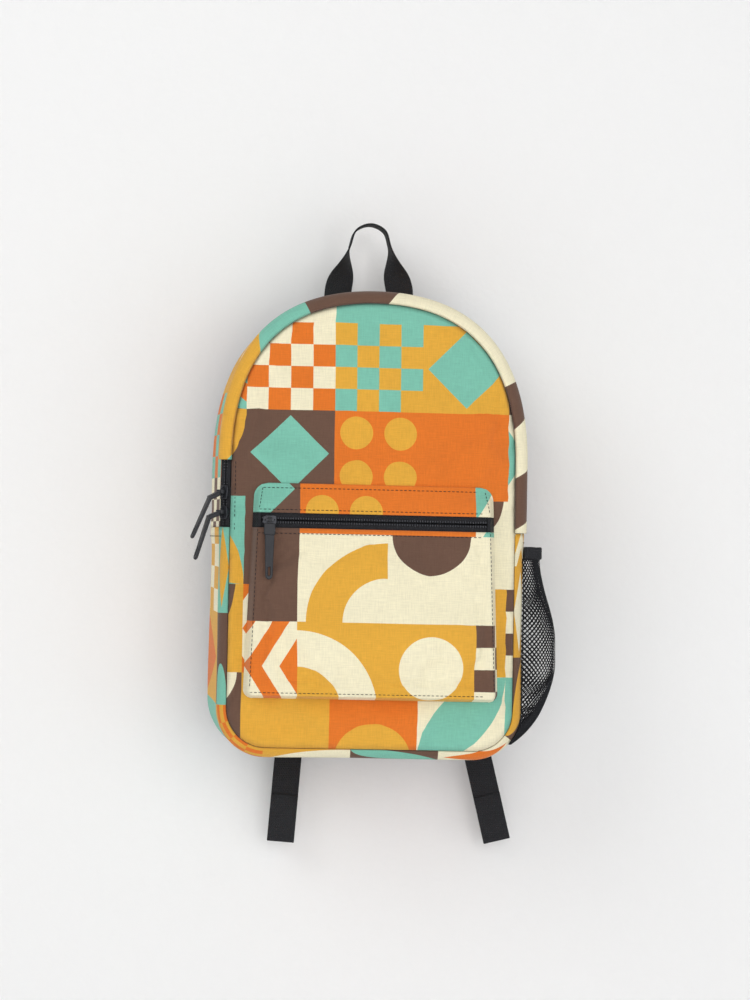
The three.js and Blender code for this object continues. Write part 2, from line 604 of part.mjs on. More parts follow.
// In the slider's frame the pull's bar axis is X: its hanging direction is turned to point left.
function mainPull(height, bend, droop) {
  const place = mainPlace(height);
  const pivot = V(0, BRIDGE_Y, 0).applyMatrix4(place);
  const rise = V(0, 0, 0).setFromMatrixColumn(place, 0);
  const left = V(-1, -0.35, 0);
  left.addScaledVector(rise, -left.dot(rise)).normalize();
  const down = rise.clone().negate();
  const basis = new THREE.Matrix4().makeBasis(down, rise.clone().cross(left), left.clone().negate());
  return placed(zipPull(-bend, -droop, true), basis.setPosition(pivot));
}

const mainPullUpper = mainPull(UPPER_SLIDER_HEIGHT, rad(28), rad(66));
const mainPullLower = mainPull(LOWER_SLIDER_HEIGHT, rad(24), rad(72));

// Side mesh pocket on the right-hand lower gusset.
const sideX = (z, inset, splay) => {
  const r = CORNER_RADIUS - inset;
  const up = Math.min(0, z - (BASE + CORNER_RADIUS - splay));
  return BAG_WIDTH / 2 - CORNER_RADIUS + Math.sqrt(Math.max(0, r * r - up * up));
};
const meshStep = (u) => lerp(0.1, 1.4, u);

function meshBulge(u, v) {
  const across = (1 - Math.abs(2 * u - 1) ** 2.6);
  const drawn = lerp(1, MESH_MOUTH / MESH_BULGE, smoothstep(v, 0.55, 1));
  const up = v < 0.45 ? Math.sin(Math.PI / 2 * v / 0.45) : drawn;
  return MESH_BULGE * across * up;
}

function meshPoint(u, v, out) {
  const z = BASE + lerp(MESH_BASE_HEIGHT, MESH_TOP_HEIGHT, v);
  const step = meshStep(u);
  const x = sideX(z, sectionInset(step, 0), splayAt(step)) + FIT + meshBulge(u, Math.min(v, 1)) + out;
  return V(x, -sectionDepth(step, 0, z), z);
}

const meshPocket = sheet(14, 14, (u, v, w) => meshPoint(u, v, w * MESH_CLOTH));
const bindingLift = (SEAM_GAP + BINDING_HEIGHT) / (MESH_TOP_HEIGHT - MESH_BASE_HEIGHT);
const bindingFrom = SEAM_GAP / (MESH_TOP_HEIGHT - MESH_BASE_HEIGHT);
const meshBinding = sheet(14, 1, (u, v, w) => {
  const p = meshPoint(u, 1, w * BINDING_THICK);
  p.z += lerp(bindingFrom, bindingLift, v) * (MESH_TOP_HEIGHT - MESH_BASE_HEIGHT);
  return p;
});

// Grab handle: webbing that twists a quarter turn from each root to lie flat over the hook.
const rootZ = (x) => {
  const curve = archPath(BACK_INSET, SPRING, SPRING).curves[x < 0 ? 1 : 2];
  let [low, high] = [0, 1];
  for (let i = 0; i < 30; i += 1) {
    const mid = (low + high) / 2;
    if (curve.getPoint(mid).x < x) low = mid;
    else high = mid;
  }
  return curve.getPoint((low + high) / 2).y;
};
const HANDLE_Y = -(WEB / 2 + SEAM_GAP);
const handleLine = new THREE.CatmullRomCurve3([
  V(-HANDLE_SPREAD, 0, rootZ(-HANDLE_SPREAD) + 2),
  V(-HANDLE_SPREAD + 1, 0, TOP + HANDLE_FOOT),
  V(-lerp(HANDLE_SPREAD, HOOK_RADIUS, 0.55), 0, lerp(TOP, -HOOK_RADIUS, 0.55)),
  V(-HOOK_RADIUS, 0, -HOOK_RADIUS),
  V(-HOOK_RADIUS * 0.72, 0, -HOOK_RADIUS * 0.26),
  V(0, 0, WEB / 2),
  V(HOOK_RADIUS * 0.72, 0, -HOOK_RADIUS * 0.26),
  V(HOOK_RADIUS, 0, -HOOK_RADIUS),
  V(lerp(HANDLE_SPREAD, HOOK_RADIUS, 0.55), 0, lerp(TOP, -HOOK_RADIUS, 0.55)),
  V(HANDLE_SPREAD - 1, 0, TOP + HANDLE_FOOT),
  V(HANDLE_SPREAD, 0, rootZ(HANDLE_SPREAD) + 2),
]);
const grabHandle = sheet(44, 2, (u, v, w) => {
  const p = handleLine.getPointAt(u);
  const t = handleLine.getTangentAt(u);
  const normal = V(t.z, 0, -t.x);
  const twist = rad(90) * smoothstep(0.5 - Math.abs(u - 0.5), 0.06, 0.34);
  const across = normal.clone().multiplyScalar(Math.cos(twist)).add(V(0, Math.sin(twist), 0));
  const through = t.clone().cross(across);
  p.addScaledVector(across, (v - 0.5) * WEB_WIDTH).addScaledVector(through, (w - 0.5) * WEB);
  p.y += HANDLE_Y * Math.cos(twist);
  if (u < 1e-6 || u > 1 - 1e-6) p.z = rootZ(p.x) + 2 * FIT;
  return p;
});

// Padded shoulder straps below a yoke on the back panel.
const strapEnd = (side) => (side < 0 ? LEFT_STRAP_END : RIGHT_STRAP_END);

function shoulderStrap(side) {
  const from = V(side * STRAP_TOP_X, PAD_BACK + FIT + STRAP_THICK / 2, TOP - STRAP_TOP_DROP);
  const to = V(side * strapEnd(side), PAD_BACK + FIT + STRAP_THICK / 2 + 4, BASE + STRAP_END_HEIGHT);
  const at = (share, bow) => V().lerpVectors(from, to, share).add(V(-side * bow * 0.35, bow, 0));
  const bowed = [at(0.2, STRAP_BOW * 0.6), at(0.45, STRAP_BOW), at(0.75, STRAP_BOW * 0.7)];
  const line = new THREE.CatmullRomCurve3([from, ...bowed, to]);
  return sheet(14, 6, (u, v, w) => {
    const p = line.getPointAt(u);
    const t = line.getTangentAt(u);
    const across = V(1, 0, 0).addScaledVector(t, -t.x).normalize();
    const through = across.clone().cross(t);
    const width = lerp(STRAP_WIDTH, STRAP_END_WIDTH, smoothstep(u, 0.35, 1));
    const pad = lerp(STRAP_EDGE, STRAP_THICK, 1 - Math.abs(2 * v - 1) ** 3);
    p.addScaledVector(across, (v - 0.5) * width).addScaledVector(through, (w - 0.5) * pad);
    if (u < 1e-6) p.z = from.z;
    if (u > 1 - 1e-6) p.z = to.z;
    return p;
  });
}

const yokeShape = new THREE.Shape();
yokeShape.moveTo(-YOKE_WIDTH / 2, -YOKE_HEIGHT / 2).lineTo(YOKE_WIDTH / 2, -YOKE_HEIGHT / 2);
yokeShape.quadraticCurveTo(YOKE_WIDTH / 2 - 4, YOKE_HEIGHT / 3, YOKE_WIDTH / 4, YOKE_HEIGHT / 2);
yokeShape.lineTo(-YOKE_WIDTH / 4, YOKE_HEIGHT / 2);
yokeShape.quadraticCurveTo(-YOKE_WIDTH / 2 + 4, YOKE_HEIGHT / 3, -YOKE_WIDTH / 2, -YOKE_HEIGHT / 2);
const strapYoke = plate(yokeShape, YOKE_THICK, 0.8, 4)
  .translate(0, PAD_BACK + SEAM_GAP + YOKE_THICK / 2, TOP - STRAP_TOP_DROP + 4 + YOKE_HEIGHT / 2);

// Ladder lock, strap webbing and adjuster webbing, drawn in the plane of the strap: a is out from
// the back and b is up, both from the middle bar of the lock.
const LOCK_A = PAD_BACK + FIT + STRAP_THICK / 2 + 5;
const barHalfA = LOCK_THICK / 2;
const barHalfB = LOCK_BAR / 2;
const layer = barHalfA + WEB_CLEAR + WEB / 2;
const packLayer = layer + WEB + WEB_CLEAR;
const turnB = barHalfB + WEB_CLEAR + WEB / 2;

function ladderLock() {
  const slotWidth = WEB_WIDTH + 2.4;
  const slotHeight = LOCK_PITCH - LOCK_BAR;
  const frame = roundedRect(LOCK_WIDTH, 2 * LOCK_PITCH + LOCK_BAR, 2.6);
  [-1, 1].forEach((side) => {
    const hole = new THREE.Path();
    const [x, low] = [slotWidth / 2, side * LOCK_PITCH / 2 - slotHeight / 2];
    hole.moveTo(-x, low).lineTo(-x, low + slotHeight).lineTo(x, low + slotHeight).lineTo(x, low).closePath();
    frame.holes.push(hole);
  });
  const body = plate(frame, LOCK_THICK, 0.5, 3);
  const lip = block(-LOCK_WIDTH / 2 + 4, LOCK_WIDTH / 2 - 4, -1, 1, -6, 0.6);
  lip.rotateX(rad(24)).translate(0, 0.6, -LOCK_PITCH - barHalfB);
  return joined([body, lip]);
}

// Webbing along a flat path of straight runs and bends.
function webbing(path, steps, extra = () => 0) {
  const points = path.getSpacedPoints(steps);
  return sheet(steps, 1, (u, v, w) => {
    const i = Math.round(u * steps);
    const before = points[Math.max(0, i - 1)];
    const after = points[Math.min(steps, i + 1)];
    const t = after.clone().sub(before).normalize();
    const off = (w - 0.5) * WEB + (w > 0.5 ? extra(points[i]) : 0);
    const p = points[i].clone().add(new THREE.Vector2(t.y, -t.x).multiplyScalar(off));
    return V((v - 0.5) * WEB_WIDTH, p.x, p.y);
  });
}

const lockLocal = { tail: BASE - TAIL_DROP - (BASE + LOCK_HEIGHT), anchor: ANCHOR_HEIGHT - LOCK_HEIGHT };
const bendR = WEB / 2 + WEB_CLEAR;

function adjusterPath() {
  const foot = PAD_BACK + SEAM_GAP + YOKE_THICK + SEAM_GAP + WEB / 2 - LOCK_A;
  const p = new THREE.Path();
  const bend = lockLocal.anchor + FOLD_RUN;
  const under = -LOCK_PITCH - LOCK_BAR * 2;
  p.moveTo(foot, lockLocal.anchor).lineTo(foot, bend);
  p.bezierCurveTo(foot, bend + FOLD_EASE, -packLayer, under - FOLD_EASE, -packLayer, under);
  p.lineTo(-packLayer, turnB - bendR);
  p.absarc(-packLayer + bendR, turnB - bendR, bendR, Math.PI, Math.PI / 2, true);
  p.lineTo(layer - bendR, turnB);
  p.absarc(layer - bendR, turnB - bendR, bendR, Math.PI / 2, 0, true);
  p.lineTo(layer, -turnB + bendR);
  p.absarc(layer - bendR, -turnB + bendR, bendR, 0, -Math.PI / 2, true);
  p.lineTo(-layer + bendR, -turnB);
  p.absarc(-layer + bendR, -turnB - bendR, bendR, Math.PI / 2, Math.PI, false);
  return p.lineTo(-layer, lockLocal.tail);
}

function strapWebPath() {
  const rise = BASE + STRAP_END_HEIGHT - (BASE + LOCK_HEIGHT) - LOCK_PITCH;
  const p = new THREE.Path();
  const low = LOCK_PITCH - turnB;
  p.moveTo(-layer, LOCK_PITCH + rise + 6).lineTo(-layer, low + bendR);
  p.absarc(-layer + bendR, low + bendR, bendR, Math.PI, Math.PI * 1.5, false);
  p.lineTo(layer - bendR, low);
  p.absarc(layer - bendR, low + bendR, bendR, Math.PI * 1.5, Math.PI * 2, false);
  return p.lineTo(layer, LOCK_PITCH + rise + 6);
}

function leaning(geometry, side) {
  const lean = side < 0 ? LEFT_LEAN : RIGHT_LEAN;
  return geometry.rotateY(rad(-side * lean)).translate(side * strapEnd(side), LOCK_A, BASE + LOCK_HEIGHT);
}

const hem = (p) => (p.y < lockLocal.tail + TAIL_HEM ? WEB : 0);
const adjuster = (side) => leaning(webbing(adjusterPath(), 72, hem), side);
const strapWeb = (side) => common(
  leaning(webbing(strapWebPath(), 40), side),
  block(-FAR, FAR, -FAR, FAR, BASE - FAR, BASE + STRAP_END_HEIGHT - SEAM_GAP),
);
const lock = (side) => leaning(ladderLock(), side);

function anchor(side) {
  const lean = rad(side < 0 ? LEFT_LEAN : RIGHT_LEAN);
  const x = side * (strapEnd(side) + Math.sin(lean) * (LOCK_HEIGHT - ANCHOR_HEIGHT - 8));
  const tab = new THREE.Shape();
  const [foot, tip] = [ANCHOR_FOOT / 2, ANCHOR_TIP / 2];
  tab.moveTo(-foot, 0).lineTo(foot, 0).lineTo(tip, ANCHOR_TALL).lineTo(-tip, ANCHOR_TALL).closePath();
  const out = PAD_BACK + SEAM_GAP + YOKE_THICK / 2;
  return plate(tab, YOKE_THICK, 0.8, 2).translate(x, out, BASE + PAD_INSET + 2);
}

// Inner sleeve sewn to the inside of the back panel, open at the top.
const SLEEVE_HALF = BAG_WIDTH / 2 - FRONT_INSET - SLEEVE_SIDE;
const laptopSleeve = sheet(14, 10, (u, v, w) => {
  const x = lerp(-SLEEVE_HALF, SLEEVE_HALF, gathered(u, 2));
  const z = BASE + FRONT_INSET + CLOTH + 4 + lerp(0, SLEEVE_HEIGHT, v ** 1.6);
  const round = smoothstep(SLEEVE_HALF - Math.abs(x), 0, SLEEVE_SIDE) * smoothstep(v, 0, 0.2);
  return V(x, -SLEEVE_DEPTH * round - CLOTH * (1 - w) - SEAM_GAP + SEAM_GAP, z);
});

const fabric = (color) => ({ color, roughness: 0.85, metalness: 0 });
const MUSTARD = fabric(0xdfa53c);
const ORANGE = fabric(0xdd7529);
const TEAL = fabric(0x7cbfa8);
const CREAM = fabric(0xeee4c2);
const BROWN = fabric(0x6b5142);
const BLACK_WEB = fabric(0x25262a);
const BLACK_TAPE = fabric(0x1d1d20);
const BLACK_MESH = fabric(0x222225);
const GREY_LINING = fabric(0x8d8d8a);
const COIL = { color: 0x1c1c1e, roughness: 0.5, metalness: 0 };
const METAL = { color: 0x2b2b2e, roughness: 0.4, metalness: 0.6 };
const RUBBER = { color: 0x232326, roughness: 0.7, metalness: 0 };
const PLASTIC = { color: 0x202022, roughness: 0.5, metalness: 0 };

const pack = new THREE.Group();
pack.name = 'day_pack';

function add(name, geometry, finish) {
  const mesh = new THREE.Mesh(closed(geometry), new THREE.MeshStandardMaterial(finish));
  mesh.name = name;
  pack.add(mesh);
}

add('front_panel', frontPanel, MUSTARD);
add('upper_gusset', upperGusset, ORANGE);
add('lower_gusset', lowerGusset, BROWN);
add('zip_flap', zipFlap, TEAL);
add('main_zip_rear_tape', rearTape, BLACK_TAPE);
add('main_zip_front_tape', frontTape, BLACK_TAPE);
add('main_zip_rear_coil', rearCoil, COIL);
add('main_zip_front_coil', frontCoil, COIL);
add('main_slider_upper', mainSliderUpper, METAL);
add('main_slider_lower', mainSliderLower, METAL);
add('main_pull_upper', mainPullUpper, RUBBER);
add('main_pull_lower', mainPullLower, RUBBER);
add('pocket_header', pocketHeader, CREAM);
add('pocket_face', pocketFacePiece, TEAL);
add('pocket_end_left', pocketEndLeft, BLACK_TAPE);
add('pocket_end_right', pocketEndRight, BLACK_TAPE);
add('pocket_zip_upper_tape', pocketTape(slotHalf, tapeOuter), BLACK_TAPE);
add('pocket_zip_lower_tape', pocketTape(-tapeOuter, -slotHalf), BLACK_TAPE);
add('pocket_zip_upper_coil', pocketCoil(1), COIL);
add('pocket_zip_lower_coil', pocketCoil(-1), COIL);
add('pocket_slider', pocketSlider, METAL);
add('pocket_pull', pocketPull, RUBBER);
add('mesh_pocket', meshPocket, BLACK_MESH);
add('mesh_pocket_binding', meshBinding, BLACK_WEB);
add('grab_handle', grabHandle, BLACK_WEB);
add('back_panel', backPanel, BLACK_MESH);
add('strap_yoke', strapYoke, BLACK_WEB);
add('laptop_sleeve', laptopSleeve, GREY_LINING);
[[-1, 'left'], [1, 'right']].forEach(([side, word]) => {
  add(`shoulder_strap_${word}`, shoulderStrap(side), BLACK_MESH);
  add(`strap_webbing_${word}`, strapWeb(side), BLACK_WEB);
  add(`ladder_lock_${word}`, lock(side), PLASTIC);
  add(`adjuster_webbing_${word}`, adjuster(side), BLACK_WEB);
  add(`strap_anchor_${word}`, anchor(side), BLACK_WEB);
});

export default pack;
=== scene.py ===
"""Looks of a printed day pack: cloth, net, webbing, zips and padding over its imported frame."""

import bisect
import math

import bmesh
import bpy
from bpy.props import FloatProperty, FloatVectorProperty, PointerProperty
from mathutils import Matrix, Vector, noise


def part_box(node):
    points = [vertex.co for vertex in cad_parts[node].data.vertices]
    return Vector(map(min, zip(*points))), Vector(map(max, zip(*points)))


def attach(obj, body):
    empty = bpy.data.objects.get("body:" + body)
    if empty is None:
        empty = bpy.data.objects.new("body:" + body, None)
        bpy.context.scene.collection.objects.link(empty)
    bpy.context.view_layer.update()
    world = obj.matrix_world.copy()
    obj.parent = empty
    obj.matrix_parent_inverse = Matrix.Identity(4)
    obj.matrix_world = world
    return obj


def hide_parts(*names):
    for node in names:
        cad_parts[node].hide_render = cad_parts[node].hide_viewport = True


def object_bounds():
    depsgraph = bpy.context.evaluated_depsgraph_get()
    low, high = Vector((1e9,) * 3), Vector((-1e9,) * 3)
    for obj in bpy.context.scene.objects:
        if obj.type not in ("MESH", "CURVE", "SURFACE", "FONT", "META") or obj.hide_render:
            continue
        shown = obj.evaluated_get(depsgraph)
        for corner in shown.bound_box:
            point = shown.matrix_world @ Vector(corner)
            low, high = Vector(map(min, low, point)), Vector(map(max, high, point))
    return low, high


bl_info = {
    "name": "Printed day pack",
    "version": (1, 0, 0),
    "blender": (4, 5, 0),
    "location": "View3D > Sidebar > Day pack",
    "description": "Cloth, net, webbing, zips and padding over the frame of a day pack",
    "category": "Object",
}

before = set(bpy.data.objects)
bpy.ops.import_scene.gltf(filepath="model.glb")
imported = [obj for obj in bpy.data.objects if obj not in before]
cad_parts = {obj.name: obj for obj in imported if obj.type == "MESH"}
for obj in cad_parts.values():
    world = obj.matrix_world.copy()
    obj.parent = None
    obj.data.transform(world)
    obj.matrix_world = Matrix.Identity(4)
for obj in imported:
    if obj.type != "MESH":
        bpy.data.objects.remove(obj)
CAD_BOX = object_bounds()

PRINT_SEED = 3.0
SLOT = 0.0005  # half of the slot between the two tapes of a zip
TAPE = 0.0007  # thickness of a zip tape
TOOTH_OUT = 0.0010  # teeth of the pocket zip in front of their tape
TOOTH_OFF = 0.00178  # teeth of the pocket zip from its middle
MAIN_TOOTH_OUT = 0.0007
MAIN_TOOTH_OFF = 0.0014
SHADE_STRIP_HALF = 0.007  # half of the dark strip behind the pocket zip: painted shade of the pocket's inside, seen through the slot
STITCH_EDGE = 0.0045  # row of stitches from the pocket's side


def length(name, description, default):
    """A length property in metres."""
    return FloatProperty(name=name, description=description, default=default, unit="LENGTH", precision=4)


def turn(name, description, degrees):
    """An angle property."""
    return FloatProperty(name=name, description=description, default=math.radians(degrees), subtype="ANGLE")


def share(name, description, default):
    """A plain factor property."""
    return FloatProperty(name=name, description=description, default=default, subtype="FACTOR")


def colour(name, description, hexcode):
    """A colour property from its screen value."""
    parts = [int(hexcode[i : i + 2], 16) / 255 for i in (0, 2, 4)]
    linear = [p / 12.92 if p <= 0.04045 else ((p + 0.055) / 1.055) ** 2.4 for p in parts]
    return FloatVectorProperty(name=name, description=description, default=linear, subtype="COLOR",
                               min=0, max=1)


class PackShape(bpy.types.PropertyGroup):
    """Sizes of the sewn body."""

    width: length("Width", "Widest point of the bag", 0.284)
    height: length("Height", "Base to the top of the arch", 0.415)
    base_depth: length("Base depth", "Back seam to front seam at the base", 0.132)
    top_depth: length("Top depth", "Back seam to front seam at the top", 0.108)
    corner: length("Corner radius", "Rounding of the lower corners", 0.050)
    arch_rise: length("Arch rise", "Height of the rounded top", 0.150)
    arch_fullness: share("Arch fullness", "How far the top runs level", 0.69)
    arch_shoulder: share("Arch shoulder", "How far the sides run upright", 0.62)
    edge_roll: length("Edge roll", "Soft edge between the gusset and the front", 0.009)
    splay: length("Splay", "How far each side draws in towards the soft edge", 0.006)
    widest: share("Widest", "Where the gusset is widest, from the back seam to the soft edge", 0.4)
    back_inset: length("Back inset", "How far the gusset draws in at the back seam", 0.006)
    bulge: length("Front bulge", "Fullness of the front panel", 0.014)
    seam_height: length("Side seam", "Seam of the upper and lower gusset above the base", 0.203)
    loop_height: length("Loop height", "Hang point above the bag", 0.070)
    cloth: length("Cloth", "Printed cloth with its lining", 0.0014)
    gap: length("Seam gap", "Between pieces sewn edge to edge", 0.0003)
    fit: length("Fit", "Between a piece and one that it lies on", 0.0005)
    flap_start: turn("Flap start", "Where the zip flap leaves the gusset, round the soft edge", 2)
    flap_end: turn("Flap end", "Free edge of the zip flap, round the soft edge", 93)
    flap_lift: length("Flap lift", "Zip flap above the gusset", 0.0013)
    flap_left: length("Flap left end", "Lower end of the flap on the left above the base", 0.263)
    zip_start: turn("Zip start", "Where the zip bevel starts, round the soft edge", 16)


class PackPocket(bpy.types.PropertyGroup):
    """Sizes of the front pocket and the side net."""

    top_width: length("Top width", "Pocket width at its top", 0.212)
    base_width: length("Base width", "Pocket width at its foot", 0.226)
    base_height: length("Foot height", "Pocket foot above the base", 0.053)
    top_height: length("Top height", "Pocket top above the base", 0.243)
    top_corner: length("Top corner", "Rounding of the pocket's upper corners", 0.012)
    base_corner: length("Foot corner", "Rounding of the pocket's lower corners", 0.008)
    zip_height: length("Zip height", "Pocket zip above the base", 0.210)
    zip_opening: length("Zip opening", "Opening that shows the zip", 0.0134)
    lift: length("Lift", "Zip in front of the fullest point of the panel", 0.006)
    flare: length("Flare", "Foot in front of the zip", 0.016)
    billow: length("Billow", "Fullness of the pocket face", 0.005)
    wall_run: length("Wall run", "Width of the pocket's sloping wall", 0.005)
    tape_lap: length("Tape lap", "Cloth over the zip tape", 0.002)
    net_top: length("Net top", "Mouth of the net above the base", 0.180)
    net_base: length("Net foot", "Foot of the net above the base", 0.016)
    net_bulge: length("Net bulge", "Fullness of the net", 0.030)
    net_mouth: length("Net mouth", "Fullness of the net at its mouth", 0.014)
    net_pitch: length("Net pitch", "Side of a net cell", 0.0028)
    net_cord: length("Net cord", "Width of the net's cord", 0.0014)
    binding_height: length("Binding height", "Elastic along the mouth of the net", 0.011)
    binding_thick: length("Binding thickness", "Elastic along the mouth of the net", 0.0026)


class PackTrim(bpy.types.PropertyGroup):
    """Sizes of webbing, straps and stitches."""

    web_width: length("Webbing width", "All webbing", 0.025)
    web: length("Webbing", "Thickness of all webbing", 0.0015)
    handle_spread: length("Handle spread", "Middle of a handle root from the middle of the bag", 0.029)
    hook_radius: length("Hook radius", "Bend of the handle over the hook", 0.018)
    pad: length("Back pad", "Thickness of the back panel", 0.011)
    left_lean: turn("Left lean", "Left webbing end, outwards", 4)
    right_lean: turn("Right lean", "Right webbing end, outwards", 14)
    tail_hem: length("Tail hem", "Folded end of the adjuster webbing", 0.043)
    stitch: length("Stitch", "Length of one stitch", 0.0031)
    stitch_gap: length("Stitch gap", "Between two stitches", 0.0008)
    thread: length("Thread", "Diameter of the sewing thread", 0.0007)
    tooth_pitch: length("Tooth pitch", "Turns of a zip coil", 0.0016)


class PackLook(bpy.types.PropertyGroup):
    """Colours of the pack."""

    mustard: colour("Mustard", "Print colour", "E2A93C")
    orange: colour("Orange", "Print colour", "E27625")
    cream: colour("Cream", "Print colour", "F1E9C9")
    teal: colour("Teal", "Print colour", "7CC0AB")
    brown: colour("Brown", "Print colour", "694E40")
    black: colour("Black", "Webbing, net and zips", "28292D")
    lining: colour("Lining", "Inner cloth", "8D8D8A")
    wall: colour("Wall", "Backdrop", "F5F5F5")
    tile: length("Tile", "Side of one square of the print", 0.078)


class PackView(bpy.types.PropertyGroup):
    """The photograph's viewpoint."""

    azimuth: turn("Azimuth", "Camera to the left of the front", -4.18)
    elevation: turn("Elevation", "Camera above the bag", -0.93)
    roll: turn("Roll", "Camera about its axis", 1.27)
    distance: length("Distance", "Camera to the bag", 3.166)
    lens: FloatProperty(name="Lens", description="Focal length on a 36 mm frame", default=125.85,
                        unit="CAMERA")
    target_x: length("Target X", "Point in the middle of the picture", 0.0057)
    target_z: length("Target Z", "Point in the middle of the picture", -0.2540)


def lerp(a, b, t):
    return a + (b - a) * t


def clamp(t):
    return min(1.0, max(0.0, t))


def smooth(x, low, high):
    t = clamp((x - low) / (high - low))
    return t * t * (3 - 2 * t)


class Form:
    """Surfaces of the pack, from its sizes."""

    def __init__(self, scene):
        self.s, self.p, self.t = scene.pack_shape, scene.pack_pocket, scene.pack_trim
        s, p = self.s, self.p
        self.top = -s.loop_height
        self.base = self.top - s.height
        self.spring = self.top - s.arch_rise
        self.seam = self.base + s.seam_height
        self.middle = (self.top + self.base) / 2
        self.bevel_step = 1 + s.zip_start / (math.pi / 2)
        self.front_inset = s.splay + s.edge_roll
        self.low, self.high = self.base + p.base_height, self.base + p.top_height
        self.zip = self.base + p.zip_height
        self.band_low, self.band_high = self.zip - p.zip_opening / 2, self.zip + p.zip_opening / 2
        self.zip_y = -(self.depth(self.zip) + s.bulge + p.lift)
        self.opening = self.pocket_half(self.zip) - p.wall_run - p.tape_lap
        self.tape_y = self.zip_y + s.cloth + s.fit
        self.pad_back = s.gap + self.t.pad
        self.even = self.even_arch()
        self.edge = self.edge_table()

    def depth(self, z):
        return lerp(self.s.base_depth, self.s.top_depth, (z - self.base) / self.s.height)

    def quarter(self, inset, t, splay=0.0):
        """Left half of the arch: a cubic curve from the spring to the top."""
        s = self.s
        a, top = s.width / 2 - inset, self.top - inset + splay
        rise = self.spring + s.arch_shoulder * (top - self.spring)
        k = ((1 - t) ** 3, 3 * t * (1 - t) ** 2, 3 * t * t * (1 - t), t**3)
        x = -a * (k[0] + k[1] + s.arch_fullness * k[2])
        return x, k[0] * self.spring + k[1] * rise + (k[2] + k[3]) * top

    def even_arch(self):
        """Table that makes steps along the arch even."""
        far, spots = [0.0], [self.quarter(0, i / 64) for i in range(65)]
        for a, b in zip(spots, spots[1:]):
            far.append(far[-1] + math.dist(a, b))
        return far

    def along_quarter(self, inset, t, splay):
        at = t * self.even[-1]
        i = min(63, bisect.bisect_right(self.even, at) - 1)
        step = (at - self.even[i]) / (self.even[i + 1] - self.even[i])
        return self.quarter(inset, (i + step) / 64, splay)

    def runs(self, part, left, right):
        """Lengths of the stretches of an outline."""
        s = self.s
        arch = [self.spring - left, self.even[-1], self.even[-1], self.spring - right]
        side = self.seam - self.base - s.corner
        bend = s.corner * math.pi / 2
        floor = [side, bend, s.width - 2 * s.corner, bend, side]
        return {"arch": arch, "base": floor, "whole": arch + floor}[part]

    def outline(self, part, inset, t, left=None, right=None, splay=0.0):
        """Point of the bag's outline seen from the front, clockwise from the left side seam."""
        left = self.seam if left is None else left
        right = self.seam if right is None else right
        runs = self.runs(part, left, right)
        at, k = clamp(t) * sum(runs), 0
        while k < len(runs) - 1 and at > runs[k]:
            at -= runs[k]
            k += 1
        r = clamp(at / max(runs[k], 1e-9))
        a, b = self.s.width / 2 - inset, self.s.corner - inset
        floor, lift = self.base + inset - splay, self.base + self.s.corner - splay
        if part == "base":
            k += 4
        if k == 0:
            return -a, lerp(left, self.spring, r)
        if k == 1:
            return self.along_quarter(inset, r, splay)
        if k == 2:
            x, z = self.along_quarter(inset, 1 - r, splay)
            return -x, z
        if k == 3:
            return a, lerp(self.spring, right, r)
        if k == 4:
            return a, lerp(right, lift, r)
        if k == 5:
            return a - b + b * math.cos(r * math.pi / 2), lift - b * math.sin(r * math.pi / 2)
        if k == 6:
            return lerp(a - b, b - a, r), floor
        if k == 7:
            return b - a - b * math.sin(r * math.pi / 2), lift - b * math.cos(r * math.pi / 2)
        return -a, lerp(lift, left, r)

    def run_length(self, part, left=None, right=None):
        left = self.seam if left is None else left
        right = self.seam if right is None else right
        return sum(self.runs(part, left, right))

    def splay_at(self, step):
        return self.s.splay * clamp((step - self.s.widest) / (1 - self.s.widest))

    def section_inset(self, step, inward):
        s = self.s
        if step <= 1:
            back = s.back_inset * max(0, 1 - step / s.widest) ** 2
            return back + self.splay_at(step) + inward
        return self.front_inset - (s.edge_roll - inward) * math.cos((step - 1) * math.pi / 2)

    def section_depth(self, step, inward, z):
        flat = self.depth(z) - self.s.edge_roll
        if step <= 1:
            return step * flat
        return flat + (self.s.edge_roll - inward) * math.sin((step - 1) * math.pi / 2)

    def gusset(self, part, u, step, inward=0.0, left=None, right=None):
        """Point of the gusset: step runs from the back seam (0) to the soft edge (1) and the front (2)."""
        x, z = self.outline(part, self.section_inset(step, inward), u, left, right, self.splay_at(step))
        return Vector((x, -self.section_depth(step, inward, z), z))

    def edge_table(self):
        rows = []
        for i in range(720):
            x, z = self.outline("whole", self.front_inset + self.s.gap, i / 720, splay=self.s.splay)
            rows.append((math.atan2(z - self.middle, x), math.hypot(x, z - self.middle)))
        return sorted(rows)

    def panel_share(self, x, z):
        """How far a point is from the middle of the front panel (0) to its edge (1)."""
        angle = math.atan2(z - self.middle, x)
        i = bisect.bisect_right(self.edge, (angle, 0)) % len(self.edge)
        return math.hypot(x, z - self.middle) / self.edge[i][1]

    def panel(self, x, z):
        reach = min(1.0, self.panel_share(x, z))
        return -self.depth(z) - self.s.bulge * (1 - reach**2.4)

    def pocket_half(self, z):
        p = self.p
        half = lerp(p.base_width, p.top_width, (z - self.low) / (self.high - self.low)) / 2
        for radius, reach in ((p.top_corner, self.high - z), (p.base_corner, z - self.low)):
            into = min(radius, max(0.0, radius - reach))
            half -= radius - math.sqrt(radius**2 - into**2)
        return half

    def pocket_face(self, x, z):
        p = self.p
        down = clamp((self.band_low - z) / (self.band_low - self.low))
        billow = p.billow * math.sin(math.pi * down) * (1 - (x / self.pocket_half(z)) ** 2)
        return self.zip_y - p.flare * down - billow

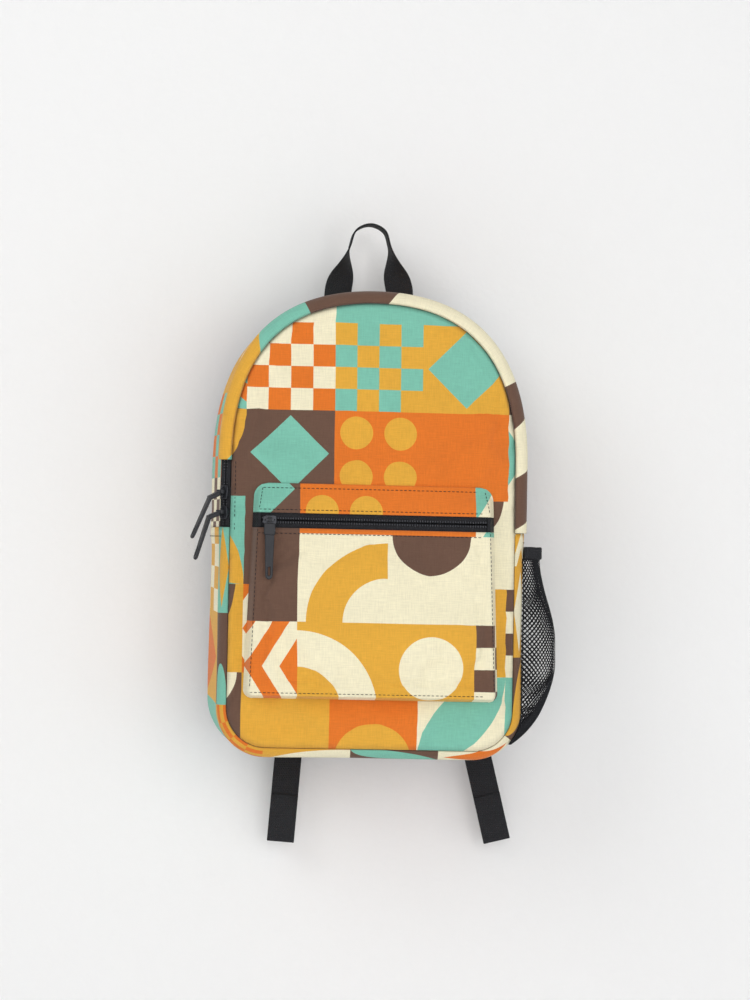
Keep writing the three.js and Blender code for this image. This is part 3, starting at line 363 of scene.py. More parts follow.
    def pocket(self, x, z):
        """Front of the pocket's stitched-down shell."""
        p = self.p
        side = smooth(self.pocket_half(z) - abs(x), 0, p.wall_run)
        foot = smooth(z - self.low, 0, p.wall_run * 0.7)
        head = smooth(self.high - z, 0, self.high - self.band_high - p.tape_lap - 0.001)
        flange = self.panel(x, z) - self.s.cloth - self.s.fit
        return lerp(flange, self.pocket_face(x, z), side * foot * head)

    def bevel(self, u, across, height):
        """Point of the flat bevel that carries the main zip."""
        s = self.s
        start = self.section_inset(self.bevel_step, 0)
        back = s.edge_roll * (1 - math.sin(s.zip_start))
        tilt = math.atan2(back, self.front_inset + s.gap - start)
        inset = start + across * math.cos(tilt) - height * math.sin(tilt)
        x, z = self.outline("arch", inset, u, splay=s.splay)
        return Vector((x, back - across * math.sin(tilt) - height * math.cos(tilt) - self.depth(z), z))

    def bevel_width(self):
        s = self.s
        start = self.section_inset(self.bevel_step, 0)
        return math.hypot(self.front_inset + s.gap - start, s.edge_roll * (1 - math.sin(s.zip_start)))

    def side_x(self, z, inset, splay):
        r = self.s.corner - inset
        up = min(0, z - (self.base + self.s.corner - splay))
        return self.s.width / 2 - self.s.corner + math.sqrt(max(0, r * r - up * up))

    def net(self, u, v, out=0.0):
        """Point of the side net, u from back to front and v from foot to mouth."""
        p = self.p
        z = self.base + lerp(p.net_base, p.net_top, v)
        step = lerp(0.1, 1.4, u)
        v = min(v, 1)
        rise = math.sin(math.pi / 2 * v / 0.45)
        if v >= 0.45:
            rise = lerp(1, p.net_mouth / p.net_bulge, smooth(v, 0.55, 1))
        full = p.net_bulge * (1 - abs(2 * u - 1) ** 2.6) * rise
        x = self.side_x(z, self.section_inset(step, 0), self.splay_at(step)) + self.s.fit + full + out
        return Vector((x, -self.section_depth(step, 0, z), z))


def running(points):
    """Distance along a row of points, up to each of them."""
    far = [0.0]
    for a, b in zip(points, points[1:]):
        far.append(far[-1] + (b - a).length)
    return far


def locate(far, at):
    """Stretch of a row of points that holds a distance, and the share of that stretch."""
    k = min(len(far) - 2, max(0, bisect.bisect_right(far, at) - 1))
    return k, clamp((at - far[k]) / max(1e-9, far[k + 1] - far[k]))


def rumple(spot, scale, seed=0.0):
    """Soft folds from -1 to 1."""
    return noise.noise(spot / scale + Vector((seed, seed * 0.7, -seed)))


def grid(nu, nv, place, flat, flip=False):
    """Cloth over u and v in 0..1: place gives a point and flat its spot on the cut cloth, in metres."""
    bm = bmesh.new()
    bmesh.ops.create_grid(bm, x_segments=nu, y_segments=nv, size=0.5)
    cut = bm.loops.layers.uv.new("cloth")
    at = {v: (v.co.x + 0.5, v.co.y + 0.5) for v in bm.verts}
    for face in bm.faces:
        for corner in face.loops:
            corner[cut].uv = flat(*at[corner.vert])
    for v in bm.verts:
        v.co = place(*at[v])
    bmesh.ops.remove_doubles(bm, verts=bm.verts, dist=2e-6)
    if flip:
        bmesh.ops.reverse_faces(bm, faces=bm.faces)
    return bm


def tube(stations, ring):
    """Closed strip: stations are (middle, across, through) and ring the section as (across, through)."""
    n, m = len(stations) - 1, len(ring)
    far = running([s[0] for s in stations])
    wide = [0.0]
    for i in range(m):
        wide.append(wide[-1] + math.dist(ring[i], ring[(i + 1) % m]))

    def place(u, v):
        middle, across, through = stations[round(u * n)]
        a, b = ring[round(v * m) % m]
        return middle + across * a + through * b

    bm = grid(n, m, place, lambda u, v: (wide[round(v * m)], far[round(u * n)]))
    rims = [e for e in bm.edges if e.is_boundary]
    if rims:
        bmesh.ops.holes_fill(bm, edges=rims, sides=0)
    bmesh.ops.recalc_face_normals(bm, faces=bm.faces)
    return bm


def oval(width, thick, round_steps=3, flat_steps=4):
    """Section of webbing: flat faces and rounded edges."""
    r, ring = thick / 2, []
    w = width / 2 - r
    for side in (1, -1):
        for i in range(flat_steps):
            ring.append((lerp(-w, w, i / flat_steps) * side, r * side))
        for i in range(round_steps):
            a = math.pi / 2 - math.pi * i / round_steps
            ring.append((side * (w + r * math.cos(a)), side * r * math.sin(a)))
    return ring


def add_piece(name, bm, finish, body="bag", stands_for=(), smooth_faces=True):
    """Makes an object of a bmesh, dresses it and lets it ride on a body."""
    mesh = bpy.data.meshes.new(name)
    bm.to_mesh(mesh)
    bm.free()
    if smooth_faces:
        mesh.shade_smooth()
    obj = bpy.data.objects.new(name, mesh)
    bpy.context.scene.collection.objects.link(obj)
    mesh.materials.append(finish)
    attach(obj, body)
    if stands_for:
        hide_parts(*stands_for)
    return obj


def thicken(obj, thick, offset=-1.0):
    """Gives a sheet its wall."""
    wall = obj.modifiers.new("wall", "SOLIDIFY")
    wall.thickness, wall.offset, wall.use_even_offset = thick, offset, True
    return obj


def settle(obj, pinned, growth, pressure, cap, limit=None, frames=20, stiff=8.0):
    """Lets a sewn panel relax between its pinned seams, and keeps each point within a cap."""
    before = [v.co.copy() for v in obj.data.vertices]
    pins = obj.vertex_groups.new(name="seams")
    for v in obj.data.vertices:
        hold = pinned(v.co)
        if hold > 0:
            pins.add([v.index], hold, "REPLACE")
    cloth = obj.modifiers.new("cloth", "CLOTH")
    cfg = cloth.settings
    cfg.quality = 6
    cfg.mass = 0.2
    cfg.tension_stiffness = cfg.compression_stiffness = stiff
    cfg.shear_stiffness = stiff / 2
    cfg.bending_stiffness = 0.6
    cfg.vertex_group_mass = "seams"
    cfg.shrink_min = cfg.shrink_max = -growth
    cfg.use_pressure = True
    cfg.uniform_pressure_force = pressure
    cfg.effector_weights.gravity = 0
    cloth.collision_settings.use_collision = False
    cloth.point_cache.frame_start, cloth.point_cache.frame_end = 1, frames
    for i in range(1, frames + 1):
        bpy.context.scene.frame_set(i)
    shaped = obj.evaluated_get(bpy.context.evaluated_depsgraph_get())
    after = [v.co.copy() for v in shaped.data.vertices]
    obj.modifiers.remove(cloth)
    obj.vertex_groups.remove(pins)
    bpy.context.scene.frame_set(1)
    for v, a, b in zip(obj.data.vertices, before, after):
        move = b - a
        if move.length > cap:
            move *= cap / move.length
        v.co = a + move
        if limit:
            v.co = limit(v.co)
    obj.data.update()


class Tree:
    """Short words for building a node tree."""

    def __init__(self, tree):
        self.tree = tree

    def node(self, kind, settings=None, **inputs):
        n = self.tree.nodes.new(kind)
        for key, value in (settings or {}).items():
            setattr(n, key, value)
        for key, value in inputs.items():
            self.feed(n.inputs[key.replace("_", " ")], value)
        return n

    def feed(self, socket, value):
        if isinstance(value, Wire):
            value = value.socket
        if isinstance(value, bpy.types.NodeSocket):
            self.tree.links.new(value, socket)
        else:
            socket.default_value = value

    def wire(self, socket):
        return Wire(self, socket)

    def math(self, operation, *values):
        n = self.tree.nodes.new("ShaderNodeMath")
        n.operation = operation
        for socket, value in zip(n.inputs, values):
            self.feed(socket, value)
        return Wire(self, n.outputs[0])


class Wire:
    """A value in a node tree that takes plain arithmetic."""

    def __init__(self, tree, socket):
        self.tree, self.socket = tree, socket

    def __add__(self, other):
        return self.tree.math("ADD", self, other)

    def __sub__(self, other):
        return self.tree.math("SUBTRACT", self, other)

    def __rsub__(self, other):
        return self.tree.math("SUBTRACT", other, self)

    def __mul__(self, other):
        return self.tree.math("MULTIPLY", self, other)

    def __truediv__(self, other):
        return self.tree.math("DIVIDE", self, other)

    __radd__, __rmul__ = __add__, __mul__

    def below(self, other):
        return self.tree.math("LESS_THAN", self, other)

    def near(self, other, slack=0.5):
        return self.tree.math("COMPARE", self, other, slack)

    def apply(self, operation):
        return self.tree.math(operation, self)


def new_group(name, inputs, outputs):
    """A shader group with its sockets, and the wires of its inputs."""
    group = bpy.data.node_groups.new(name, "ShaderNodeTree")
    for label, kind in inputs:
        group.interface.new_socket(name=label, in_out="INPUT", socket_type=kind)
    for label, kind in outputs:
        group.interface.new_socket(name=label, in_out="OUTPUT", socket_type=kind)
    tree = Tree(group)
    start = group.nodes.new("NodeGroupInput")
    end = group.nodes.new("NodeGroupOutput")
    return group, tree, start.outputs, end.inputs


def weave_group():
    """Threads of a plain weave with slubs, from cloth metres: a shade about 1 and a height."""
    group, t, given, out = new_group(
        "Woven threads",
        [("Cloth", "NodeSocketVector"), ("Pitch", "NodeSocketFloat"), ("Slub", "NodeSocketFloat")],
        [("Shade", "NodeSocketFloat"), ("Height", "NodeSocketFloat")],
    )
    xyz = t.node("ShaderNodeSeparateXYZ", Vector=given["Cloth"])
    x, y = t.wire(xyz.outputs["X"]), t.wire(xyz.outputs["Y"])
    pitch, slub = t.wire(given["Pitch"]), t.wire(given["Slub"])
    over = (x / pitch).apply("SINE") * (y / pitch).apply("SINE")
    lines = []
    for along, across in ((90, 1100), (1100, 90)):
        spot = t.node("ShaderNodeCombineXYZ", X=x * float(along), Y=y * float(across), Z=0.0)
        slubs = t.node("ShaderNodeTexNoise", {"noise_dimensions": "2D"}, Vector=spot.outputs[0],
                       Scale=1.0, Detail=1.0)
        lines.append(t.wire(slubs.outputs[0]) - 0.5)
    blot = t.node("ShaderNodeTexNoise", {"noise_dimensions": "2D"}, Vector=given["Cloth"],
                  Scale=22.0, Detail=2.0)
    threads = lines[0] + lines[1]
    t.feed(out["Shade"], 1.0 + threads * slub + over * 0.03 + (t.wire(blot.outputs[0]) - 0.5) * 0.09)
    t.feed(out["Height"], over * 0.5 + threads * 1.2 + 0.5)
    return group


def print_group(look):
    """Generic patchwork of square tiles: each takes a motif and two print colours by its own number."""
    group, t, given, out = new_group(
        "Patchwork print", [("Cloth", "NodeSocketVector")], [("Colour", "NodeSocketColor")]
    )
    xyz = t.node("ShaderNodeSeparateXYZ", Vector=given["Cloth"])
    x, y = (t.wire(xyz.outputs[k]) / look.tile for k in ("X", "Y"))
    i, j = x.apply("FLOOR"), y.apply("FLOOR")
    p, q = x - i, y - j

    def numbers(seed):
        cell = t.node("ShaderNodeCombineXYZ", X=i, Y=j, Z=seed)
        dice = t.node("ShaderNodeTexWhiteNoise", {"noise_dimensions": "3D"}, Vector=cell.outputs[0])
        rgb = t.node("ShaderNodeSeparateColor", Color=dice.outputs["Color"])
        return [t.wire(s) for s in rgb.outputs]

    kind, ground, figure = numbers(PRINT_SEED)
    flips = [w.below(0.5) for w in numbers(PRINT_SEED + 9.0)]
    p = p + (1.0 - p * 2.0) * flips[0]
    q = q + (1.0 - q * 2.0) * flips[1]
    p, q = p + (q - p) * flips[2], q + (p - q) * flips[2]
    a, b = p - 0.5, q - 0.5
    near = p * p + q * q
    far = (1.0 - p) * (1.0 - p) + (1.0 - q) * (1.0 - q)
    wide, tall = a.apply("ABSOLUTE"), b.apply("ABSOLUTE")
    halves = [(w * 2.0).apply("FRACT") for w in (p, q)]
    dots = [w - 0.5 for w in halves]
    squares = (p * 4.0).apply("FLOOR") + (q * 4.0).apply("FLOOR")
    motifs = [
        near.below(0.82),
        (a * a + q * q).below(0.2),
        (wide + tall).below(0.44),
        (squares / 2.0).apply("FRACT").below(0.25),
        near.below(1.0) * far.below(1.0),
        (a * a + b * b).below(0.13),
        (q * 2.5 + wide * 1.6).apply("FRACT").below(0.5),
        (dots[0] * dots[0] + dots[1] * dots[1]).below(0.14),
        near.below(0.82) * (0.25 - near).below(0.0),
    ]
    number = (kind * (len(motifs) + 1.6)).apply("FLOOR")
    mask = None
    for k, motif in enumerate(motifs):
        part = motif * number.near(float(k), 0.2)
        mask = part if mask is None else mask + part
    dyes = [look.mustard, look.cream, look.teal, look.orange, look.brown, look.mustard]

    def dye(value):
        ramp = t.node("ShaderNodeValToRGB", Fac=value)
        ramp.color_ramp.interpolation = "CONSTANT"
        stops = ramp.color_ramp.elements
        while len(stops) < len(dyes):
            stops.new(0.5)
        for k, shade in enumerate(dyes):
            stops[k].position = k / len(dyes)
            stops[k].color = (*shade, 1)
        return ramp.outputs["Color"]

    step = ((figure * 3.99).apply("FLOOR") + 1.0) / 6.0
    second = (ground * 5.0 / 6.0 + step).apply("FRACT")
    mix = t.node("ShaderNodeMix", {"data_type": "RGBA"})
    t.feed(mix.inputs["Factor"], mask)
    t.feed(mix.inputs[6], dye(ground * 5.0 / 6.0))
    t.feed(mix.inputs[7], dye(second))
    t.feed(out["Colour"], mix.outputs[2])
    return group


class Finishes:
    """The pack's materials, each made once."""

    def __init__(self, scene):
        self.look = scene.pack_look
        self.weave = weave_group()
        self.print = print_group(self.look)
        self.made = {}

    def start(self, name, roughness, specular=0.3):
        material = bpy.data.materials.new(name)
        material.use_nodes = True
        material.node_tree.nodes.clear()
        t = Tree(material.node_tree)
        shader = t.node("ShaderNodeBsdfPrincipled", Roughness=roughness)
        shader.inputs["Specular IOR Level"].default_value = specular
        end = t.node("ShaderNodeOutputMaterial")
        t.feed(end.inputs["Surface"], shader.outputs["BSDF"])
        return material, t, shader

    def bump(self, t, shader, height, distance, strength=1.0):
        b = t.node("ShaderNodeBump", Strength=strength, Distance=distance, Height=height)
        t.feed(shader.inputs["Normal"], b.outputs["Normal"])

    def tinted(self, t, shader, base, shade):
        mix = t.node("ShaderNodeMix", {"data_type": "RGBA", "blend_type": "MULTIPLY"})
        mix.inputs["Factor"].default_value = 1.0
        t.feed(mix.inputs[6], base)
        t.feed(mix.inputs[7], shade)
        t.feed(shader.inputs["Base Color"], mix.outputs[2])

    def cloth(self, name, shift, scale=1.0, plain=None):
        """Printed cloth, its pattern shifted on the cut."""
        if name in self.made:
            return self.made[name]
        material, t, shader = self.start(name, 0.88, 0.22)
        shader.inputs["Sheen Weight"].default_value = 0.12
        shader.inputs["Sheen Roughness"].default_value = 0.6
        uv = t.node("ShaderNodeUVMap", {"uv_map": "cloth"})
        weave = t.node("ShaderNodeGroup", {"node_tree": self.weave}, Cloth=uv.outputs[0],
                       Pitch=0.00016, Slub=0.17)
        if plain is None:
            put = t.node("ShaderNodeMapping", Vector=uv.outputs[0], Location=(*shift, 0),
                         Scale=(scale, scale, 1))
            tiles = t.node("ShaderNodeGroup", {"node_tree": self.print}, Cloth=put.outputs[0])
            dyed = tiles.outputs["Colour"]
        else:
            dyed = (*plain, 1)
        self.tinted(t, shader, dyed, weave.outputs["Shade"])
        self.bump(t, shader, weave.outputs["Height"], 0.00012, 0.7)
        self.made[name] = material
        return material

    def webbing(self, name="black_webbing", rib=0.0017, tint=0.75):
        """Ribbed black webbing, its ribs across the cut."""
        if name in self.made:
            return self.made[name]
        material, t, shader = self.start(name, 0.72, 0.3)
        uv = t.node("ShaderNodeUVMap", {"uv_map": "cloth"})
        xyz = t.node("ShaderNodeSeparateXYZ", Vector=uv.outputs[0])
        x, y = t.wire(xyz.outputs["X"]), t.wire(xyz.outputs["Y"])
        ribs = (y * (2 * math.pi / rib)).apply("SINE") * 0.5
        cords = (x * (2 * math.pi / (rib * 1.3)) + (y * (math.pi / rib)).apply("SINE") * 1.4).apply("SINE")
        weave = t.node("ShaderNodeGroup", {"node_tree": self.weave}, Cloth=uv.outputs[0],
                       Pitch=0.0002, Slub=0.5)
        shade = t.wire(weave.outputs["Shade"]) + ribs * 0.12 + cords * 0.1
        base = tuple(c * tint for c in self.look.black)
        self.tinted(t, shader, (*base, 1), shade.socket)
        self.bump(t, shader, (ribs + cords * 0.6).socket, 0.00022)
        self.made[name] = material
        return material

    def moulded(self, name, roughness, specular, grain, tint=1.0, metal=0.0, worn=0.0):
        """Moulded rubber or plastic, or lacquered metal with rubbed edges."""
        if name in self.made:
            return self.made[name]
        material, t, shader = self.start(name, roughness, specular)
        shader.inputs["Metallic"].default_value = metal
        at = t.node("ShaderNodeTexCoord").outputs["Object"]
        fine = t.node("ShaderNodeTexNoise", Vector=at, Scale=grain, Detail=4.0)
        broad = t.node("ShaderNodeTexNoise", Vector=at, Scale=grain / 12, Detail=2.0)
        shade = 0.86 + t.wire(fine.outputs[0]) * 0.16 + t.wire(broad.outputs[0]) * 0.16
        base = tuple(c * tint for c in self.look.black)
        if worn:
            point = t.wire(t.node("ShaderNodeNewGeometry").outputs["Pointiness"])
            rubbed = ((point - 0.52) * 9.0 + (t.wire(broad.outputs[0]) - 0.5) * 1.2).apply("ROUND")
            clean = t.node("ShaderNodeClamp", Value=rubbed).outputs[0]
            shade = shade + t.wire(clean) * worn
        self.tinted(t, shader, (*base, 1), shade.socket)
        rough = t.wire(broad.outputs[0]) * 0.25 + (roughness - 0.12)
        t.feed(shader.inputs["Roughness"], rough)
        self.bump(t, shader, fine.outputs[0], 0.00006, 0.6)
        self.made[name] = material
        return material

    def knit(self, name, pitch, tint=1.0):
        """Air-mesh knit on pads: rows of small open cells, painted darker in their holes as shade, on Object
        coordinates.
        """
        if name in self.made:
            return self.made[name]
        material, t, shader = self.start(name, 0.85, 0.2)
        shader.inputs["Sheen Weight"].default_value = 0.2
        at = t.node("ShaderNodeTexCoord").outputs["Object"]
        xyz = t.node("ShaderNodeSeparateXYZ", Vector=at)
        x, z = t.wire(xyz.outputs["X"]) / pitch, t.wire(xyz.outputs["Z"]) / pitch
        row = z.apply("FLOOR")
        shift = (row / 2.0).apply("FRACT")
        a = (x + shift).apply("FRACT") - 0.5
        b = z.apply("FRACT") - 0.5
        cell = (a * a + b * b).apply("SQRT")
        hole = t.node("ShaderNodeMapRange", {"interpolation_type": "SMOOTHSTEP"}, Value=cell)
        for key, value in (("From Min", 0.22), ("From Max", 0.42), ("To Min", 0.0), ("To Max", 1.0)):
            hole.inputs[key].default_value = value
        fuzz = t.node("ShaderNodeTexNoise", Vector=at, Scale=900.0, Detail=2.0)
        height = t.wire(hole.outputs[0]) + t.wire(fuzz.outputs[0]) * 0.35
        base = tuple(c * tint for c in self.look.black)
        # Colour darkened in the holes of the cells: painted shade in the open cells, with random fuzz grain
        # on top.
        self.tinted(t, shader, (*base, 1), (0.45 + height * 0.55).socket)
        self.bump(t, shader, height.socket, 0.0006)
        self.made[name] = material
        return material

    def thread(self):
        """Twisted sewing thread."""
        if "thread" in self.made:
            return self.made["thread"]
        material, t, shader = self.start("sewing_thread", 0.7, 0.3)
        at = t.node("ShaderNodeTexCoord").outputs["Object"]
        ply = t.node("ShaderNodeTexNoise", Vector=at, Scale=1800.0, Detail=1.0)
        shade = 0.6 + t.wire(ply.outputs[0]) * 0.6
        self.tinted(t, shader, (*(c * 0.8 for c in self.look.black), 1), shade.socket)
        self.bump(t, shader, ply.outputs[0], 0.0001)
        self.made["thread"] = material
        return material


STATE = {}


def workshop(context):
    """Surfaces and finishes that every piece shares."""
    if not STATE:
        STATE["form"] = Form(context.scene)
        STATE["finish"] = Finishes(context.scene)
    return STATE["form"], STATE["finish"]


def panel_area(form):
    """Flat area of the front panel."""
    spots = [form.outline("whole", form.front_inset, i / 400, splay=form.s.splay) for i in range(400)]
    return abs(sum(a[0] * b[1] - b[0] * a[1] for a, b in zip(spots, spots[1:] + spots[:1]))) / 2


class PACK_OT_body(bpy.types.Operator):
    """Sews the front panel, the gussets and the zip flap of printed cloth"""

    bl_idname = "pack.body"
    bl_label = "Printed body"

    def execute(self, context):
        form, finish = workshop(context)
        s = form.s

        def front(u, v):
            reach = 1 - v
            x, z = form.outline("whole", form.front_inset + s.gap, u, splay=s.splay)
            x, z = x * reach, lerp(form.middle, z, reach)
            dip = 0.0005 * smooth(reach, 0.975, 1.0)
            return Vector((x, -form.depth(z) - s.bulge * (1 - reach**2.4) + dip, z))

        bm = grid(168, 30, front, lambda u, v: (front(u, v).x, front(u, v).z), flip=True)
        obj = add_piece("front_cloth", bm, finish.cloth("printed_front", (0.036, 0.02)),
                        stands_for=["front_panel"])

        def held(co):
            edge = smooth(form.panel_share(co.x, co.z), 0.95, 0.985)
            inside = min(form.pocket_half(co.z) + 0.003 - abs(co.x), co.z - form.low + 0.004,
                         form.high + 0.003 - co.z)
            return max(edge, smooth(inside, -0.006, 0.0))

        settle(obj, held, 0.022, -1.2, 0.005)
        thicken(obj, s.cloth * 0.8)
        panel_area(form)
        self.gussets(form, finish)
        self.flap(form, finish)
        return {"FINISHED"}

    def gussets(self, form, finish):
        s = form.s
        for part, name, node, last, nu, nv in (
            ("arch", "upper_gusset_cloth", "upper_gusset", form.bevel_step, 150, 16),
            ("base", "lower_gusset_cloth", "lower_gusset", 2.0, 160, 24),
        ):
            edge = form.seam + s.gap if part == "arch" else form.seam

            def place(u, v):
                step = last * v
                spot = form.gusset(part, u, step, 0.0, edge, edge)
                seam = min(abs(v), abs(1 - v)) * s.base_depth
                ends = min(u, 1 - u) * form.run_length(part)
                hold = smooth(seam, 0.0, 0.02) * smooth(ends, 0.0, 0.02)
                fold = 0.5 + 0.5 * rumple(spot, 0.055, 4.0)
                pucker = 0.5 + 0.5 * rumple(spot, 0.014, 8.0)
                inward = 0.0016 * fold * hold + 0.0005 * pucker * (1 - smooth(seam, 0.004, 0.016))
                if part == "base" and v > 0.98:
                    inward += 0.0010 * (v - 0.98) / 0.02
                return form.gusset(part, u, step, inward, edge, edge)

            reach = form.run_length(part)
            deep = s.base_depth * (1.06 if part == "base" else 0.9)
            bm = grid(nu, nv, place, lambda u, v: (reach * u, deep * v), flip=True)
            tint = finish.cloth("printed_" + part, (0.19, 0.43) if part == "arch" else (0.05, 0.245))
            obj = add_piece(name, bm, tint, stands_for=[node])
            thicken(obj, s.cloth * 0.8)

    def flap(self, form, finish):
        s = form.s
        left, right = form.base + s.flap_left, form.seam + s.gap
        rows = 14

        def place(u, v):
            k = round(v * rows)
            half = rows // 2
            on_top = k <= half
            w = (k if on_top else rows - k) / half
            angle = lerp(s.flap_start, s.flap_end, w)
            lift = lerp(s.fit, s.flap_lift, smooth(w, 0, 0.5))
            crown = math.sin(math.pi * clamp(w)) * 0.0009
            thick = s.cloth if on_top else 0.0
            if k in (half, 0, rows):
                thick = s.cloth * 0.5
            spot = form.gusset("arch", u, 1 + angle / (math.pi / 2), 0.0, left, right)
            wave = 0.0004 * rumple(spot, 0.012, 2.0) * smooth(w, 0.2, 0.9)
            inward = -lift - thick - (crown + wave if on_top else 0)
            return form.gusset("arch", u, 1 + angle / (math.pi / 2), inward, left, right)

        reach = form.run_length("arch", left, right)
        bm = grid(190, rows, place, lambda u, v: (reach * u, 0.036 * v))
        rims = [e for e in bm.edges if e.is_boundary]
        bmesh.ops.holes_fill(bm, edges=rims, sides=0)
        bmesh.ops.recalc_face_normals(bm, faces=bm.faces)
        tint = finish.cloth("printed_flap", (0.02, 0.055), 0.34)
        obj = add_piece("zip_flap_cloth", bm, tint, stands_for=["zip_flap"])


class PACK_OT_pocket(bpy.types.Operator):
    """Sews the front pocket: header, face and the two end tabs of its zip"""

    bl_idname = "pack.pocket"
    bl_label = "Front pocket"

    def execute(self, context):
        form, finish = workshop(context)
        s = form.s
        print_cloth = finish.cloth("printed_pocket", (0.066, 0.052))
        tape = finish.webbing("zip_tape", 0.0012, 0.8)

        def patch(z0, z1, x0, x1, nu, nv, ends, power=1.0):
            def spot(u, v):
                z = lerp(z0, z1, v**power)
                half = form.pocket_half(z)
                a = -half if x0 is None else x0
                b = half if x1 is None else x1
                if ends:
                    c = 2 * u - 1
                    u = 0.5 + 0.5 * math.copysign(1 - (1 - abs(c)) ** 1.6, c)
                return lerp(a, b, u), z

            def place(u, v):
                x, z = spot(u, v)
                y = form.pocket(x, z)
                side = min(form.pocket_half(z) - abs(x), z - form.low, form.high - z)
                fold = 0.5 + 0.5 * rumple(Vector((x, 0, z)), 0.026, 5.0)
                zip_edge = smooth(abs(z - form.zip) - form.p.zip_opening / 2, 0.0, 0.012)
                y += 0.0016 * fold * smooth(side, 0.003, 0.018) * zip_edge if ends else 0
                return Vector((x, y, z))

            return grid(nu, nv, place, lambda u, v: spot(u, v))

        face = add_piece("pocket_face_cloth", patch(form.low, form.band_low, None, None, 84, 66, True, 1.5),
                         print_cloth, stands_for=["pocket_face"])

        def held(co):
            side = min(form.pocket_half(co.z) - abs(co.x), co.z - form.low)
            rim = 1 - smooth(side, 0.008, 0.014)
            mouth = 1 - smooth(form.band_low - co.z, 0.004, 0.012)
            return max(rim, mouth)

        def limit(co):
            room = lerp(0.0001, 0.005, smooth(form.zip - 0.062 - co.z, 0.0, 0.045))
            co.y = max(co.y, form.pocket(co.x, co.z) - room)
            return co

        settle(face, held, 0.03, -0.6, 0.005, limit)
        thicken(face, s.cloth * 0.8)
        tall = (form.band_low - form.low) * 1.12
        tall * 1.1
        head = add_piece("pocket_header_cloth", patch(form.band_high, form.high, None, None, 84, 18, True),
                         print_cloth, stands_for=["pocket_header"])
        thicken(head, s.cloth * 0.8)
        (form.high - form.band_high) * 1.08
        for name, x0, x1 in (("left", None, -form.opening), ("right", form.opening, None)):
            bm = patch(form.band_low + s.gap, form.band_high - s.gap, x0, x1, 14, 8, False)
            tab = add_piece(f"pocket_end_{name}_tab", bm, tape, stands_for=[f"pocket_end_{name}"])
            thicken(tab, s.cloth * 0.9)
        return {"FINISHED"}


def teeth(count, spot, radius):
    """Turns of a zip coil: one small squashed ball for each."""
    bm = bmesh.new()
    for i in range(count):
        middle, along, across, out = spot(i / (count - 1))
        pose = Matrix((along, across, out)).transposed().to_4x4()
        pose.translation = middle
        bmesh.ops.create_icosphere(bm, subdivisions=1, radius=1.0,
                                   matrix=pose @ Matrix.Diagonal((radius, radius * 2.2, radius * 1.6, 1)))
    return bm


class PACK_OT_zips(bpy.types.Operator):
    """Lays the tapes and toothed coils of the main and pocket zips"""

    bl_idname = "pack.zips"
    bl_label = "Zips"

    def execute(self, context):
        form, finish = workshop(context)
        tape = finish.webbing("zip_tape", 0.0012, 0.8)
        coil = finish.moulded("zip_coil", 0.26, 0.7, 900.0, 2.4)
        wide = form.bevel_width()
        reach = form.run_length("arch")
        for name, low, high in (("rear", 0.0004, wide / 2 - SLOT), ("front", wide / 2 + SLOT, wide - 0.0008)):
            bm = grid(180, 4, lambda u, v: form.bevel(u, lerp(low, high, v), -0.0002),
                      lambda u, v: (lerp(low, high, v), reach * u))
            obj = add_piece(f"main_zip_{name}_cloth", bm, tape,
                            stands_for=[f"main_zip_{name}_tape"])
            thicken(obj, TAPE)
            side = -1 if name == "rear" else 1

            def tooth(u):
                across = wide / 2 + side * MAIN_TOOTH_OFF
                here = form.bevel(u, across, MAIN_TOOTH_OUT)
                there = form.bevel(min(1, u + 1e-3), across, MAIN_TOOTH_OUT)
                if u > 0.998:
                    there = here + (here - form.bevel(u - 1e-3, across, MAIN_TOOTH_OUT))
                along = (there - here).normalized()
                out = (form.bevel(u, across, MAIN_TOOTH_OUT + 0.001) - here).normalized()
                return here, along, out.cross(along).normalized(), out

            bm = teeth(int(reach / (form.t.tooth_pitch * 1.6)), tooth, 0.00042)
            add_piece(f"main_zip_{name}_teeth", bm, coil, stands_for=[f"main_zip_{name}_coil"])
        half = form.opening + form.p.tape_lap / 4
        for name, side in (("upper", 1), ("lower", -1)):
            outer = form.p.zip_opening / 2 + form.p.tape_lap / 4

            def flat(u, v):
                z = form.zip + side * lerp(SLOT, outer, v)
                ridge = 0.0002 * math.sin(math.pi * v)
                return Vector((lerp(-half, half, u) * side, form.tape_y - ridge, z))

            bm = grid(120, 6, flat, lambda u, v: (v * outer, u * 2 * half))
            obj = add_piece(f"pocket_zip_{name}_cloth", bm, tape,
                            stands_for=[f"pocket_zip_{name}_tape"])
            thicken(obj, TAPE)

            def tooth_at(u):
                x = lerp(-half + 0.002, half - 0.002, u)
                spot = Vector((x, form.tape_y - TOOTH_OUT, form.zip + side * TOOTH_OFF))
                return spot, Vector((1, 0, 0)), Vector((0, 0, 1)), Vector((0, -1, 0))

            bm = teeth(int(2 * half / (form.t.tooth_pitch * 1.4)), tooth_at, 0.0006)
            add_piece(f"pocket_zip_{name}_teeth", bm, coil,
                      stands_for=[f"pocket_zip_{name}_coil"])

        # Dark tape strip laid on the panel behind the pocket zip: painted shade, standing in for the dark
        # inside of the pocket seen through the slot between the teeth.
        def shade_strip(u, v):
            x = lerp(-half, half, u)
            z = form.zip + lerp(-SHADE_STRIP_HALF, SHADE_STRIP_HALF, v)
            return Vector((x, form.panel(x, z) - 0.0003, z))

        bm = grid(80, 4, shade_strip, lambda u, v: (v * 2 * SHADE_STRIP_HALF, u * 2 * half))
        obj = add_piece("pocket_zip_shade_strip", bm, tape)
        thicken(obj, 0.0004)
        return {"FINISHED"}


